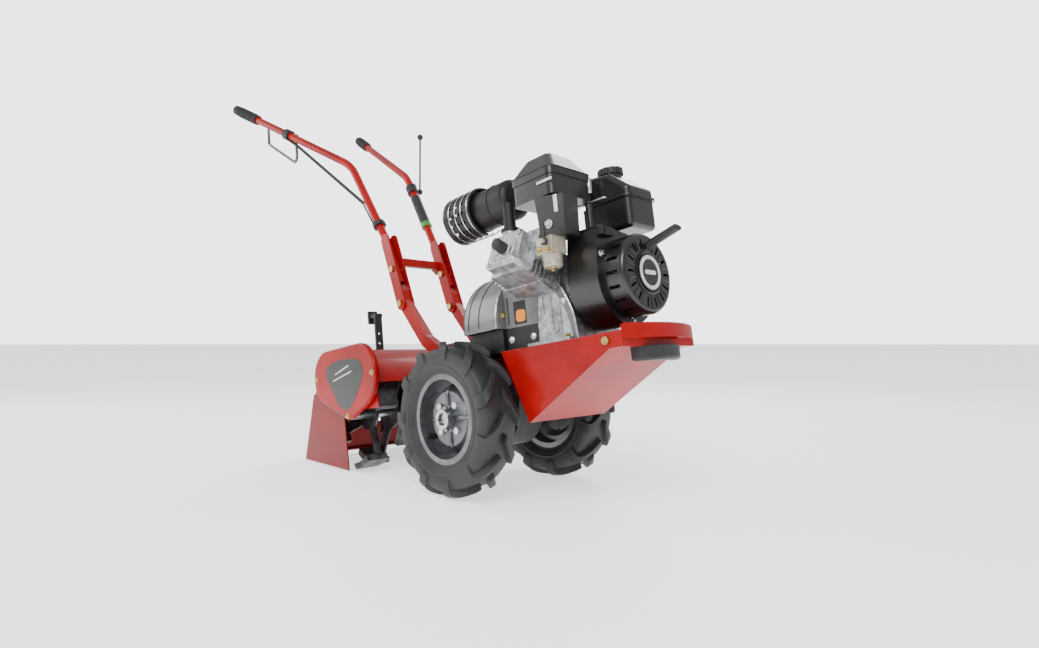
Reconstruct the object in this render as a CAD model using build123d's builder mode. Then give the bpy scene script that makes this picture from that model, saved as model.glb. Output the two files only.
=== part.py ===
from build123d import *
import os
from math import cos, radians, sin

# Rear-tine garden tiller, in millimetres.
# Every piece is drawn in the chassis frame: origin at the centre of the wheel axle, +X forward,
# +Y to the left, +Z square to the engine deck. At the end the whole machine is tipped nose-up
# about the axle onto its tines, and its origin goes to the middle of its footprint.

# ---- Stance -------------------------------------------------------------------------------
nose_up = 7.8                # degrees, the engine deck's slope when the tines rest on the ground
run_gap = 0.05               # radial clearance of a turning fit
body_gap = 0.6               # clearance between parts that move past each other

# ---- Wheels -------------------------------------------------------------------------------
tyre_radius = 165            # 13 x 4.00-6 tyre
tyre_half_width = 47
bead_radius = 88
carcass = 9                  # thickness of the tyre's wall
track_half = 157             # from the centre plane to the middle of a wheel
rim_flange_radius = 97
rim_sheet = 4
hub_radius = 21.6
hub_length = 40
axle_radius = 12.7
axle_half_length = 186
wheel_bolt_circle = 100

# ---- Tines --------------------------------------------------------------------------------
tine_axle_x = -400
tine_axle_z = 30
tine_radius = 139
tine_hub_radius = 44
tine_steel = 6
tine_shaft_radius = 12.7
tine_shaft_half = 186
tine_stations = (62, 128)    # where the tine plates stand along the shaft
tine_tip_width = 52

# ---- Gearcase -----------------------------------------------------------------------------
case_half = 38
case_wall = 6
case_top = 100
worm_z = 75
worm_shaft_radius = 9
worm_radius = 14
wheel_gear_radius = 59
tine_gear_radius = 29
bearing_outer = 20

# ---- Engine deck and belt drive -----------------------------------------------------------
deck_half = 118
deck_top = 126
deck_sheet = 4
deck_rear_top = (122, deck_top)
deck_rear_bottom = (187, -22)
deck_front = 430
belly_front = (402, deck_top - 28)
bumper_reach = 28            # how far the bumper bows out in front of the deck
lip_depth = 28               # height of the deck's front lip
bumper_bottom = 112
bumper_height = 26
crank_z = 238
belt_x = 100
pulley_width = 20
engine_pulley_radius = 32
driven_pulley_radius = 52
groove_depth = 6
belt_slack = 1.2             # the belt hangs clear of both grooves while the clutch is released
belt_thickness = 8
belt_width = 11
cover_radius = 122
guard_half = 105            # the lower guard fits between the tyres
cover_centre_z = 188
cover_sheet = 3
cover_rear = 16
cover_front = 120
cover_split_z = 176

# ---- Tine hood ----------------------------------------------------------------------------
hood_radius = 168
hood_half = 199
hood_sheet = 3
hood_front_z = 102
hood_rear_z = 78
cap_thickness = 12
skirt_sheet = 3
flap_pin = (-570, 84)
flap_foot = (-634, -72)
flap_pin_radius = 4
depth_bar_x = -576
depth_bar_y = 26
depth_bar_thickness = 8
depth_bar_width = 24

knuckle_stations = (100, 150)

# ---- Handle -------------------------------------------------------------------------------
handle_y = 81
tube_radius = 11
tube_wall = 2
strut_width = 30
ear_sheet = 4
strut_path = ((-108, 146), (-180, 192), (-263, 301), (-319, 484))
strut_bar_top = (-273, 332)
handle_pivot = (-291, 398)
pivot_pin_radius = 4
handle_path = ((-278, 81, 358), (-333, 81, 489), (-466, 96, 745), (-950, 228, 1083))
grip_length = 125
grip_thickness = 5

# ---- Engine -------------------------------------------------------------------------------
block_rear = 150
block_front = 290
block_radius = 72
bore_radius = 35
bore_angle = 25              # the cylinder leans back from level, towards the right-hand side
bore_x = 214
head_start = 118             # distances along the cylinder from the crankshaft
head_end = 166
cover_end = 186
blower_rear = 300
blower_front = 374
blower_radius = 92
blower_wall = 5
flywheel_radius = 70
recoil_front = 423
recoil_radius = 78.5
crank_radius = 12.7

os.makedirs("parts", exist_ok=True)
pieces = {}


def keep(name, builder):
    """Give a finished sub-part its name and keep it for the tipped assembly."""
    builder.part.label = name
    pieces[name] = builder.part


def side(y):
    """The plane that looks along +Y at a given y: its local x and y are the chassis X and Z."""
    return Plane.XZ.offset(-y)


def mirrored(piece):
    """The same piece on the other side of the centre plane."""
    with BuildPart() as other:
        mirror(piece, about=Plane.XZ)
    return other


# ===========================================================================================
# Wheels: tyres, rims and the live axle
# ===========================================================================================
bead_y = 28
with BuildPart() as tyre_centred:
    with BuildSketch(Plane.XY):
        with BuildLine():
            Polyline(
                (bead_radius, bead_y - carcass), (bead_radius, bead_y), (bead_radius + 10, bead_y + 1),
                (bead_radius + 20, tyre_half_width - 5), (bead_radius + 35, tyre_half_width),
                (bead_radius + 52, tyre_half_width), (tyre_radius - 12, 42),
                (tyre_radius, 25), (tyre_radius, 0),
                (tyre_radius - carcass - 2, 0), (tyre_radius - carcass - 2, 20), (tyre_radius - 20, 34),
                (bead_radius + 36, tyre_half_width - carcass),
                (bead_radius + 24, tyre_half_width - carcass - 3),
                close=True,
            )
        make_face()
        mirror(about=Plane.XZ)
    revolve(axis=Axis.Y)
with BuildPart() as tyres:
    with Locations((0, -track_half, 0)):
        add(tyre_centred.part)
    mirror(about=Plane.XZ)
keep("tyres", tyres)

# The rim is a rolled barrel with a dished centre, drawn outward side down (towards -Y).
with BuildPart() as rim_centred:
    with BuildSketch(Plane.XY):
        with Locations((bead_radius - rim_sheet / 2, 0)):
            Rectangle(rim_sheet, 2 * bead_y + 8)
        for end in (1, -1):
            with Locations(((rim_flange_radius + bead_radius - rim_sheet) / 2, end * (bead_y + 2.8))):
                Rectangle(rim_flange_radius - bead_radius + rim_sheet, 2.4)
        with BuildLine():
            Polyline(
                (bead_radius - 2, 4), (72, 4), (58, -14), (hub_radius - 1, -14), (hub_radius - 1, -10),
                (56, -10), (70, 8), (bead_radius - 2, 8), close=True,
            )
        make_face()
        with Locations(((axle_radius + hub_radius) / 2, -14)):
            Rectangle(hub_radius - axle_radius, hub_length)
    revolve(axis=Axis.Y)
    with BuildSketch(side(-8)):
        with PolarLocations(wheel_bolt_circle / 2 - 13, 4, start_angle=45):
            Circle(5)
    extrude(amount=12, both=True, mode=Mode.SUBTRACT)
with BuildPart() as wheel_rims:
    with Locations((0, -track_half, 0)):
        add(rim_centred.part)
    mirror(about=Plane.XZ)
keep("wheel_rims", wheel_rims)

with BuildPart() as wheel_axle:
    with BuildSketch(side(axle_half_length)):
        Circle(axle_radius)
    extrude(amount=2 * axle_half_length)
keep("wheel_axle", wheel_axle)

with BuildPart() as worm_wheel:
    with BuildSketch(side(9)):
        Circle(wheel_gear_radius)
        with PolarLocations(wheel_gear_radius, 24):
            Circle(3.4, mode=Mode.SUBTRACT)
        Circle(axle_radius, mode=Mode.SUBTRACT)
    extrude(amount=18)
keep("worm_wheel", worm_wheel)

# Wheel bolts and the hub's cross pins ride with the wheels.
with BuildPart() as wheel_bolts:
    for outward in (1, -1):
        with BuildSketch(side(outward * (track_half + 14.1))):
            with PolarLocations(wheel_bolt_circle / 2 - 13, 4, start_angle=45):
                RegularPolygon(8, 6)
        extrude(amount=-outward * 6)
keep("wheel_bolts", wheel_bolts)

# ===========================================================================================
# Gearcase, its shafts and gears
# ===========================================================================================
def case_outline(shrink):
    """The gearcase seen from the side, drawn in by a wall's thickness."""
    with BuildSketch() as outline:
        Circle(74 - shrink)
        with Locations((tine_axle_x, tine_axle_z)):
            Circle(46 - shrink)
        with Locations(((84 - 446) / 2, (case_top + 40) / 2)):
            Rectangle(84 + 446 - 2 * shrink, case_top - 40 - 2 * shrink)
        make_hull()
    return outline.sketch


case_outer = case_outline(0)
case_inner = case_outline(case_wall)
case_bolts = ((-60, 84), (50, 84), (-200, 84), (-320, 84), (-430, 80), (-120, -50), (-250, -22), (62, -2))
with BuildPart() as gearcase_right:
    with BuildSketch(Plane.XZ):
        add(case_outer)
    extrude(amount=case_half)
    with BuildSketch(Plane.XZ):
        add(case_inner)
    extrude(amount=case_half - case_wall, mode=Mode.SUBTRACT)
    with BuildSketch(Plane.XZ.offset(case_half - case_wall)):
        Circle(34)
        with Locations((tine_axle_x, tine_axle_z)):
            Circle(30)
    extrude(amount=case_wall + 8)
    with BuildSketch(Plane.XZ):
        Circle(bearing_outer)
        with Locations((tine_axle_x, tine_axle_z)):
            Circle(bearing_outer)
    extrude(amount=case_half + 10, mode=Mode.SUBTRACT)
    with BuildSketch(Plane.YZ.offset(84 + 1)):
        with Locations((0, worm_z)):
            Circle(bearing_outer - 4)
    extrude(amount=-(case_wall + 2), mode=Mode.SUBTRACT)
    edge_set = gearcase_right.faces().filter_by(Axis.Y).sort_by(Axis.Y)[0].outer_wire().edges()
    fillet(edge_set, 3)
keep("gearcase_right", gearcase_right)
keep("gearcase_left", mirrored(gearcase_right.part))

with BuildPart() as shaft_bearings:
    for outward in (1, -1):
        with BuildSketch(side(outward * (case_half + 8))):
            Circle(bearing_outer)
            Circle(axle_radius + run_gap, mode=Mode.SUBTRACT)
            with Locations((tine_axle_x, tine_axle_z)):
                Circle(bearing_outer)
                Circle(tine_shaft_radius + run_gap, mode=Mode.SUBTRACT)
        extrude(amount=outward * 12)
    with BuildSketch(Plane.YZ.offset(84)):
        with Locations((0, worm_z)):
            Circle(bearing_outer - 4)
            Circle(worm_shaft_radius + run_gap, mode=Mode.SUBTRACT)
    extrude(amount=-case_wall)
keep("shaft_bearings", shaft_bearings)

with BuildPart() as worm_shaft:
    with BuildSketch(Plane.YZ.offset(-425)):
        with Locations((0, worm_z)):
            Circle(worm_shaft_radius)
    extrude(amount=425 + belt_x + 16)
    for middle, length in ((0, 60), (tine_axle_x, 44)):
        for turn in range(4):
            with BuildSketch(Plane.YZ.offset(middle - length / 2 + turn * length / 4 + 2)):
                with Locations((0, worm_z)):
                    Circle(worm_radius)
            extrude(amount=length / 4 - 5)
keep("worm_shaft", worm_shaft)

with BuildPart() as tine_shaft:
    with BuildSketch(side(tine_shaft_half)):
        with Locations((tine_axle_x, tine_axle_z)):
            Circle(tine_shaft_radius)
    extrude(amount=2 * tine_shaft_half)
keep("tine_shaft", tine_shaft)

with BuildPart() as tine_gear:
    with BuildSketch(side(9)):
        with Locations((tine_axle_x, tine_axle_z)):
            Circle(tine_gear_radius)
            with PolarLocations(tine_gear_radius, 12):
                Circle(3.2, mode=Mode.SUBTRACT)
            Circle(tine_shaft_radius, mode=Mode.SUBTRACT)
    extrude(amount=18)
keep("tine_gear", tine_gear)


def tine_plate(station, tip_side, first_angle):
    """A round plate with four swept blades whose tips turn sideways along the shaft."""
    tip_inner = tine_radius - 16
    with BuildPart() as plate:
        with BuildSketch(Plane.XZ.offset(-tine_steel / 2)):
            Circle(tine_hub_radius)
            with PolarLocations(0, 4):
                with Locations((84, -10)):
                    Rectangle(84, 28, rotation=-12)
            Circle(tine_radius - 3, mode=Mode.INTERSECT)
            Circle(tine_shaft_radius, mode=Mode.SUBTRACT)
        extrude(amount=tine_steel)
        with BuildSketch(Plane.XZ.offset(-tine_steel / 2)):
            with PolarLocations(0, 4):
                with Locations((tine_radius - 10, -14)):
                    Rectangle(60, 66)
            Circle(tine_radius, mode=Mode.INTERSECT)
            Circle(tip_inner, mode=Mode.SUBTRACT)
        extrude(amount=tine_steel + tine_tip_width)
    turned = plate.part.rotate(Axis.Y, first_angle)
    if tip_side > 0:
        turned = turned.mirror(Plane.XZ)
    return Pos(tine_axle_x, station, tine_axle_z) * turned


with BuildPart() as tine_blades:
    for number, station in enumerate(tine_stations):
        for outward in (1, -1):
            add(tine_plate(outward * station, outward, 45 * number + 20))
keep("tine_blades", tine_blades)

# ===========================================================================================
# Engine deck, bumper, front weight and the rails that join the deck to the gearcase
# ===========================================================================================
front_bottom_z = deck_top - lip_depth
deck_profile = (
    deck_rear_top, (deck_front, deck_top), (deck_front, front_bottom_z), belly_front, deck_rear_bottom,
)
engine_feet = ((166, 82), (274, 82), (166, -82), (274, -82))
foot_bolt_radius = 4
foot_head_radius = 7.5
foot_head_height = 6
foot_thickness = 10
deck_bolt = (397, 112)
with BuildPart() as engine_deck:
    with BuildSketch(side(deck_half)):
        with BuildLine():
            Polyline(*deck_profile, close=True)
        make_face()
    extrude(amount=2 * deck_half)
    rear_face = engine_deck.faces().sort_by(Axis.X)[0]
    offset(amount=-deck_sheet, openings=rear_face)
    with BuildSketch(Plane.XY.offset(deck_top + 1)):
        with Locations(*engine_feet):
            Circle(foot_bolt_radius)
    extrude(amount=-(deck_sheet + 2), mode=Mode.SUBTRACT)
    with BuildSketch(side(deck_half + 1)):
        with Locations(deck_bolt):
            Circle(foot_bolt_radius)
    extrude(amount=2 * deck_half + 2, mode=Mode.SUBTRACT)
keep("engine_deck", engine_deck)

tow_hole = (deck_front + 8, 80)
tow_hole_radius = 4.5
bumper_top_sheet = 6
pocket_half = 60
pocket_crown = (deck_front + bumper_reach - 5, 0)
with BuildPart() as front_bumper:
    with BuildSketch(Plane.XY.offset(bumper_bottom)):
        with BuildLine():
            Line((deck_front, deck_half), (deck_front, -deck_half))
            ThreePointArc((deck_front, -deck_half), (deck_front + bumper_reach, 0), (deck_front, deck_half))
        make_face()
    extrude(amount=bumper_height)
    with BuildSketch(Plane.XY.offset(bumper_bottom)):
        with BuildLine():
            Line((deck_front, pocket_half), (deck_front, -pocket_half))
            ThreePointArc((deck_front, -pocket_half), pocket_crown, (deck_front, pocket_half))
        make_face()
    extrude(amount=bumper_height - bumper_top_sheet, mode=Mode.SUBTRACT)
    with BuildSketch(Plane.XY.offset(bumper_bottom + bumper_height)):
        with Locations(tow_hole, (tow_hole[0], -tow_hole[1])):
            Circle(tow_hole_radius)
    extrude(amount=-bumper_height, mode=Mode.SUBTRACT)
    outer_arcs = front_bumper.edges().filter_by(GeomType.CIRCLE).filter_by(lambda edge: edge.radius > 100)
    fillet(outer_arcs.group_by(Axis.Z)[-1], 3)
keep("front_bumper", front_bumper)

weight_depth = 26
with BuildPart() as front_weight:
    with BuildSketch(Plane.XY.offset(front_bottom_z - weight_depth)):
        with Locations((belly_front[0] + 8, 0)):
            Ellipse(42, 68)
            with Locations((-50, 0)):
                Rectangle(100, 150, mode=Mode.SUBTRACT)
    extrude(amount=weight_depth)
    fillet(front_weight.edges().group_by(Axis.Z)[0], 6)
keep("front_weight", front_weight)

rail_y = 59
with BuildPart() as frame_rails:
    for outward in (1, -1):
        with Locations((128, outward * rail_y, deck_top - deck_sheet - 20)):
            Box(356, 6, 40)
        with Locations((-34, outward * (case_half + rail_y - 3) / 2, 84)):
            Box(32, rail_y - 3 - case_half, 26)
keep("frame_rails", frame_rails)

# ===========================================================================================
# Belt drive and its cover
# ===========================================================================================
def tombstone(shrink, bottom):
    """The belt cover's outline across the machine: a round top on a base that fits between the tyres."""
    with BuildSketch() as outline:
        with Locations((0, cover_centre_z)):
            Circle(cover_radius - shrink)
        with Locations((0, cover_split_z - 200)):
            Rectangle(600, 400, mode=Mode.SUBTRACT)
        with Locations((0, (cover_split_z + bottom) / 2 + 5)):
            Rectangle(2 * (guard_half - shrink), cover_split_z - bottom + 10)
    return outline.sketch


cover_outer = tombstone(0, deck_top + 0.3)
cover_inner = tombstone(cover_sheet, deck_top - 10)
back_outline = tombstone(0, deck_top - deck_sheet)
with BuildPart() as cover_shell:
    with BuildSketch(Plane.YZ.offset(cover_rear)):
        add(cover_outer)
    extrude(amount=cover_front - cover_rear)
    fillet(cover_shell.faces().sort_by(Axis.X)[-1].edges().filter_by(GeomType.CIRCLE), 6)
    with BuildSketch(Plane.YZ.offset(cover_rear - 1)):
        add(cover_inner)
    extrude(amount=cover_front - cover_rear + 1 - cover_sheet, mode=Mode.SUBTRACT)
    with BuildSketch(Plane.YZ.offset(cover_rear)):
        with Locations((0, crank_z)):
            Circle(crank_radius + 6)
    extrude(amount=200, mode=Mode.SUBTRACT)
with BuildPart() as belt_cover:
    add(cover_shell.part)
    split(bisect_by=Plane.XY.offset(cover_split_z), keep=Keep.TOP)
keep("belt_cover", belt_cover)
with BuildPart() as belt_cover_base:
    add(cover_shell.part)
    split(bisect_by=Plane.XY.offset(cover_split_z), keep=Keep.BOTTOM)

idler_y = 67
idler_z = 158
idler_radius = 18
with BuildPart() as belt_guard:
    add(belt_cover_base.part)
    with BuildSketch(Plane.YZ.offset(cover_rear - 4)):
        add(back_outline)
    extrude(amount=4)
    with BuildSketch(Plane.YZ.offset(cover_rear)):
        with Locations((idler_y, idler_z)):
            Circle(5)
    extrude(amount=belt_x + 11 - cover_rear)
keep("belt_guard", belt_guard)


def pulley(centre_y, centre_z, radius, bore):
    """A pulley with a V-belt groove, its face at right angles to the belt plane."""
    with BuildPart() as wheel:
        with BuildSketch(Plane.XZ):
            with BuildLine():
                half = pulley_width / 2
                Polyline(
                    (-half, bore), (-half, radius), (-7, radius), (-6.5, radius - groove_depth),
                    (6.5, radius - groove_depth), (7, radius), (half, radius), (half, bore), close=True,
                )
            make_face()
        revolve(axis=Axis.X)
    return Pos(belt_x, centre_y, centre_z) * wheel.part


with BuildPart() as driven_pulley:
    add(pulley(0, worm_z, driven_pulley_radius, worm_shaft_radius))
keep("driven_pulley", driven_pulley)
with BuildPart() as engine_pulley:
    add(pulley(0, crank_z, engine_pulley_radius, crank_radius))
keep("engine_pulley", engine_pulley)
with BuildPart() as idler_pulley:
    with BuildSketch(Plane.YZ.offset(belt_x - 8)):
        with Locations((idler_y, idler_z)):
            Circle(idler_radius)
            Circle(5 + run_gap, mode=Mode.SUBTRACT)
    extrude(amount=16)
keep("idler_pulley", idler_pulley)


def belt_loop(extra):
    """The outline of the belt's path round both pulleys."""
    with BuildSketch() as loop:
        with Locations((0, crank_z)):
            Circle(engine_pulley_radius - groove_depth + belt_slack + extra)
        with Locations((0, worm_z)):
            Circle(driven_pulley_radius - groove_depth + belt_slack + extra)
        make_hull()
    return loop.sketch


belt_outside = belt_loop(belt_thickness)
belt_inside = belt_loop(0)
with BuildPart() as drive_belt:
    with BuildSketch(Plane.YZ.offset(belt_x - belt_width / 2)):
        add(belt_outside)
        add(belt_inside, mode=Mode.SUBTRACT)
    extrude(amount=belt_width)
keep("drive_belt", drive_belt)

# ===========================================================================================
# Tine hood, end caps, side skirts, rear flap and depth bar
# ===========================================================================================
hood_front_x = tine_axle_x + (hood_radius**2 - (hood_front_z - tine_axle_z) ** 2) ** 0.5
with BuildPart() as tine_hood:
    with BuildSketch(side(hood_half)):
        with Locations((tine_axle_x, tine_axle_z)):
            Circle(hood_radius)
    extrude(amount=2 * hood_half)
    with BuildSketch(side(hood_half - hood_sheet)):
        with Locations((tine_axle_x, tine_axle_z)):
            Circle(hood_radius - hood_sheet)
    extrude(amount=2 * (hood_half - hood_sheet), mode=Mode.SUBTRACT)
    with Locations((tine_axle_x, 0, 40 - 200)):
        Box(600, 600, 400, mode=Mode.SUBTRACT)
    with Locations((tine_axle_x + 150, 0, hood_front_z - 100)):
        Box(180, 2 * (hood_half - hood_sheet), 200, mode=Mode.SUBTRACT)
    with Locations((tine_axle_x - 150, 0, hood_rear_z - 100)):
        Box(180, 2 * (hood_half - hood_sheet), 200, mode=Mode.SUBTRACT)
    with Locations((hood_front_x + 12, 0, case_top + 2)):
        Box(34, 60, 4)
    for outward in (1, -1):
        for station in knuckle_stations:
            with BuildSketch(side(outward * station + 5)):
                with Locations(flap_pin):
                    Circle(8)
                with Locations((flap_pin[0] + 12, flap_pin[1])):
                    Rectangle(18, 10)
                with Locations((tine_axle_x, tine_axle_z)):
                    Circle(hood_radius - 1, mode=Mode.SUBTRACT)
            extrude(amount=10)
        with BuildSketch(side(outward * (knuckle_stations[1] + 5))):
            with Locations(flap_pin):
                Circle(flap_pin_radius)
        extrude(amount=outward * (knuckle_stations[1] - knuckle_stations[0] + 10))
keep("tine_hood", tine_hood)

cap_lobes = ((-455, 132, 70), (-292, 124, 78), (-352, 66, 48))
with BuildPart() as hood_caps:
    with BuildSketch(Plane.XZ.offset(hood_half + skirt_sheet + 1)):
        for lobe_x, lobe_z, lobe_radius in cap_lobes:
            with Locations((lobe_x, lobe_z)):
                Circle(lobe_radius)
        make_hull()
    extrude(amount=cap_thickness)
    fillet(hood_caps.faces().sort_by(Axis.Y)[0].edges(), 5)
    with BuildSketch(Plane.XZ.offset(hood_half)):
        with Locations((-395, 132)):
            Circle(20)
    extrude(amount=skirt_sheet + 1)
    mirror(about=Plane.XZ)
keep("hood_caps", hood_caps)

with BuildPart() as side_skirts:
    with BuildSketch(Plane.XZ.offset(hood_half)):
        with BuildLine():
            Polyline((-558, 96), (-628, -78), (-388, -108), (-398, 60), (-470, 96), close=True)
        make_face()
    extrude(amount=skirt_sheet)
    mirror(about=Plane.XZ)
keep("side_skirts", side_skirts)

flap_top = (flap_pin[0] - 6, flap_pin[1] - 4)
with BuildPart() as rear_flap:
    with BuildSketch(side(hood_half - 2)):
        with BuildLine():
            Polyline(
                flap_top, (flap_foot[0], flap_foot[1]), (flap_foot[0] + 14, flap_foot[1] + 3),
                (flap_foot[0] + 14, flap_foot[1] + 6), (flap_foot[0] + 4, flap_foot[1] + 5),
                (flap_top[0] + 3, flap_top[1] - 1), close=True,
            )
        make_face()
    extrude(amount=2 * (hood_half - 2))
    with Locations((depth_bar_x, depth_bar_y, 52)):
        Box(90, depth_bar_width + 10, 90, mode=Mode.SUBTRACT)
    for outward in (1, -1):
        for station in knuckle_stations:
            with Locations((flap_top[0], outward * station, flap_top[1])):
                Box(60, 12, 40, mode=Mode.SUBTRACT)
        with BuildSketch(side(outward * 125 + 18)):
            with Locations(flap_pin):
                Circle(8)
            with Locations((flap_top[0] - 1, flap_top[1] - 2)):
                Rectangle(4, 10)
            with Locations(flap_pin):
                Circle(flap_pin_radius + run_gap, mode=Mode.SUBTRACT)
        extrude(amount=36)
keep("rear_flap", rear_flap)

bar_bottom = -28
bar_top = 322
with BuildPart() as depth_bar:
    with Locations((depth_bar_x, depth_bar_y, (bar_bottom + bar_top) / 2)):
        Box(depth_bar_thickness, depth_bar_width, bar_top - bar_bottom)
    with Locations((depth_bar_x - 10, depth_bar_y, bar_top + 4)):
        Box(34, depth_bar_width, 12)
    with Locations((depth_bar_x - 30, depth_bar_y, bar_top + 2)):
        Box(9, depth_bar_width + 6, 40)
    with Locations((depth_bar_x + 6, depth_bar_y, bar_bottom + 4)):
        Box(28, depth_bar_width, 8)
    with BuildSketch(Plane.YZ.offset(depth_bar_x - 20)):
        with Locations(*[(depth_bar_y, z) for z in range(60, 300, 30)]):
            Circle(4)
    extrude(amount=40, mode=Mode.SUBTRACT)
keep("depth_bar", depth_bar)

with BuildPart() as depth_bracket:
    with Locations((-552, depth_bar_y, 150)):
        Box(84, depth_bar_width + 22, 44)
    with Locations((depth_bar_x, depth_bar_y, 150)):
        Box(depth_bar_thickness + 2 * body_gap, depth_bar_width + 2 * body_gap, 60, mode=Mode.SUBTRACT)
    with BuildSketch(side(depth_bar_y + 60)):
        with Locations((tine_axle_x, tine_axle_z)):
            Circle(hood_radius)
    extrude(amount=120, mode=Mode.SUBTRACT)
    with BuildSketch(Plane.YZ.offset(-594)):
        with Locations((depth_bar_y, 150)):
            Circle(9)
    extrude(amount=-16)
keep("depth_bracket", depth_bracket)

# ===========================================================================================
# Handle: struts, brace, tubes, grips and controls
# ===========================================================================================
with BuildPart() as handle_bracket:
    with Locations((-115, 0, case_top + 2)):
        Box(80, 2 * (handle_y - tube_radius), 4)
    for outward in (1, -1):
        with Locations((-115, outward * (handle_y - tube_radius - 2), case_top + 38)):
            Box(80, 4, 76)
    with BuildSketch(side(100)):
        with Locations(strut_path[0]):
            Circle(foot_bolt_radius)
    extrude(amount=200, mode=Mode.SUBTRACT)
keep("handle_bracket", handle_bracket)

ear_gap = tube_radius + body_gap
with BuildPart() as handle_struts:
    with BuildSketch(Plane.XZ.offset(handle_y - tube_radius)):
        with BuildLine():
            FilletPolyline(strut_path[0], strut_path[1], strut_path[2], strut_bar_top, radius=(50, 30))
        trace(line_width=strut_width)
        with Locations(strut_path[0]):
            Circle(strut_width / 2)
    extrude(amount=2 * tube_radius)
    for start in (handle_y - ear_gap - ear_sheet, handle_y + ear_gap):
        with BuildSketch(Plane.XZ.offset(start)):
            with BuildLine():
                Polyline(strut_path[2], strut_path[3])
            trace(line_width=strut_width + 4)
            with Locations(strut_path[2], strut_path[3]):
                Circle(strut_width / 2 + 2)
        extrude(amount=ear_sheet)
    with BuildSketch(Plane.XZ.offset(handle_y - ear_gap)):
        with Locations(strut_path[2]):
            Circle(strut_width / 2 - 1)
    extrude(amount=2 * ear_gap)
    with BuildSketch(Plane.XZ.offset(handle_y - 20)):
        with Locations(handle_pivot, strut_path[0], strut_path[2]):
            Circle(pivot_pin_radius)
    extrude(amount=40, mode=Mode.SUBTRACT)
    mirror(about=Plane.XZ)
keep("handle_struts", handle_struts)

ear_outer = handle_y + ear_gap + ear_sheet
ear_inner = handle_y - ear_gap - ear_sheet
bracket_inner = handle_y - tube_radius - 4
with BuildPart() as handle_pivots:
    for outward in (1, -1):
        for place, inner, outer in (
            (handle_pivot, ear_inner, ear_outer),
            (strut_path[2], ear_inner, ear_outer),
            (strut_path[0], bracket_inner, handle_y + tube_radius),
        ):
            with BuildSketch(side(outward * outer)):
                with Locations(place):
                    Circle(pivot_pin_radius)
            extrude(amount=outward * (outer - inner))
            with BuildSketch(side(outward * outer)):
                with Locations(place):
                    RegularPolygon(9, 6)
            extrude(amount=-outward * 6)
            with BuildSketch(side(outward * inner)):
                with Locations(place):
                    RegularPolygon(9, 6)
            extrude(amount=outward * 7)
keep("handle_pivots", handle_pivots)

with BuildPart() as handle_brace:
    with BuildSketch(Plane.YZ.offset(-319)):
        with Locations((0, 424)):
            Rectangle(2 * ear_inner, 22)
        with BuildLine():
            Polyline((-ear_inner, 400), (-ear_inner, 420), (-ear_inner + 22, 420), close=True)
        make_face()
        with BuildLine():
            Polyline((ear_inner, 400), (ear_inner, 420), (ear_inner - 22, 420), close=True)
        make_face()
    extrude(amount=20)
    fillet(handle_brace.edges().filter_by(Axis.Y), 4)
keep("handle_brace", handle_brace)

with BuildPart() as handle_tubes:
    with BuildLine() as tube_line:
        FilletPolyline(*handle_path, radius=(120, 140))
    with BuildSketch(Plane(origin=tube_line.line @ 0, z_dir=tube_line.line % 0)):
        Circle(tube_radius)
        Circle(tube_radius - tube_wall, mode=Mode.SUBTRACT)
    sweep()
    with BuildSketch(side(handle_y + 30)):
        with Locations(handle_pivot):
            Circle(pivot_pin_radius + run_gap)
    extrude(amount=60, mode=Mode.SUBTRACT)
    mirror(about=Plane.XZ)
keep("handle_tubes", handle_tubes)

upper_start = Vector(*handle_path[2])
upper_end = Vector(*handle_path[3])
upper_run = (upper_end - upper_start).normalized()


def along_tube(distance):
    """A point on the upper run of the left tube, measured back from its end."""
    return upper_end - upper_run * distance


def collar(start, direction, length, outer):
    """A round collar that fits on a tube, from a point on its axis."""
    with BuildPart() as ring:
        with BuildSketch(Plane(origin=start, z_dir=direction)):
            Circle(outer)
            Circle(tube_radius, mode=Mode.SUBTRACT)
        extrude(amount=length)
    return ring.part


grip_outer = tube_radius + grip_thickness
left_grip = collar(along_tube(grip_length - 6), upper_run, grip_length - 6, grip_outer)
with BuildPart() as handle_grips:
    add(left_grip)
    add(left_grip.mirror(Plane.XZ))
    with BuildSketch(Plane(origin=upper_end, z_dir=upper_run)):
        Circle(tube_radius + grip_thickness)
    extrude(amount=6)
    right_end = Plane(
        origin=(upper_end.X, -upper_end.Y, upper_end.Z), z_dir=(upper_run.X, -upper_run.Y, upper_run.Z)
    )
    with BuildSketch(right_end):
        Circle(tube_radius + grip_thickness)
    extrude(amount=6)
keep("handle_grips", handle_grips)

bail_pivot_back = 292        # distance of the bail's pivot from the end of the tube
lever_drop = 56              # distance of the lever's pivot below the handle's bend
bail_pivot = along_tube(bail_pivot_back)
bail_plane = bail_pivot.Y - 24   # the bail hangs just inside the right tube
tube_low = Vector(*handle_path[1])
lower_run = (upper_start - tube_low).normalized()
lever_pivot = upper_start - lower_run * lever_drop
tie_height = 62              # where the control cables meet the lower run of the right tube
lever_plane = lever_pivot.Y + 28
control_pin_radius = 4
with BuildPart() as cable_clamps:
    clamp_right = collar(along_tube(bail_pivot_back + 12), upper_run, 24, 17)
    add(clamp_right.mirror(Plane.XZ))
    cable_tie = collar(tube_low + lower_run * (tie_height - 12), lower_run, 12, 18)
    add(cable_tie.mirror(Plane.XZ))
    add(collar(lever_pivot - lower_run * 14, lower_run, 28, 17))
    add(collar(tube_low + lower_run * 95, lower_run, 105, tube_radius + 3.5))
    with BuildSketch(side(6 - bail_plane)):
        with Locations((bail_pivot.X, bail_pivot.Z)):
            Circle(control_pin_radius)
    extrude(amount=bail_pivot.Y - 14 - bail_plane + 6)
    with BuildSketch(side(lever_plane + 6)):
        with Locations((lever_pivot.X, lever_pivot.Z)):
            Circle(control_pin_radius)
    extrude(amount=lever_plane + 6 - lever_pivot.Y - 14)
keep("cable_clamps", cable_clamps)

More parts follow.
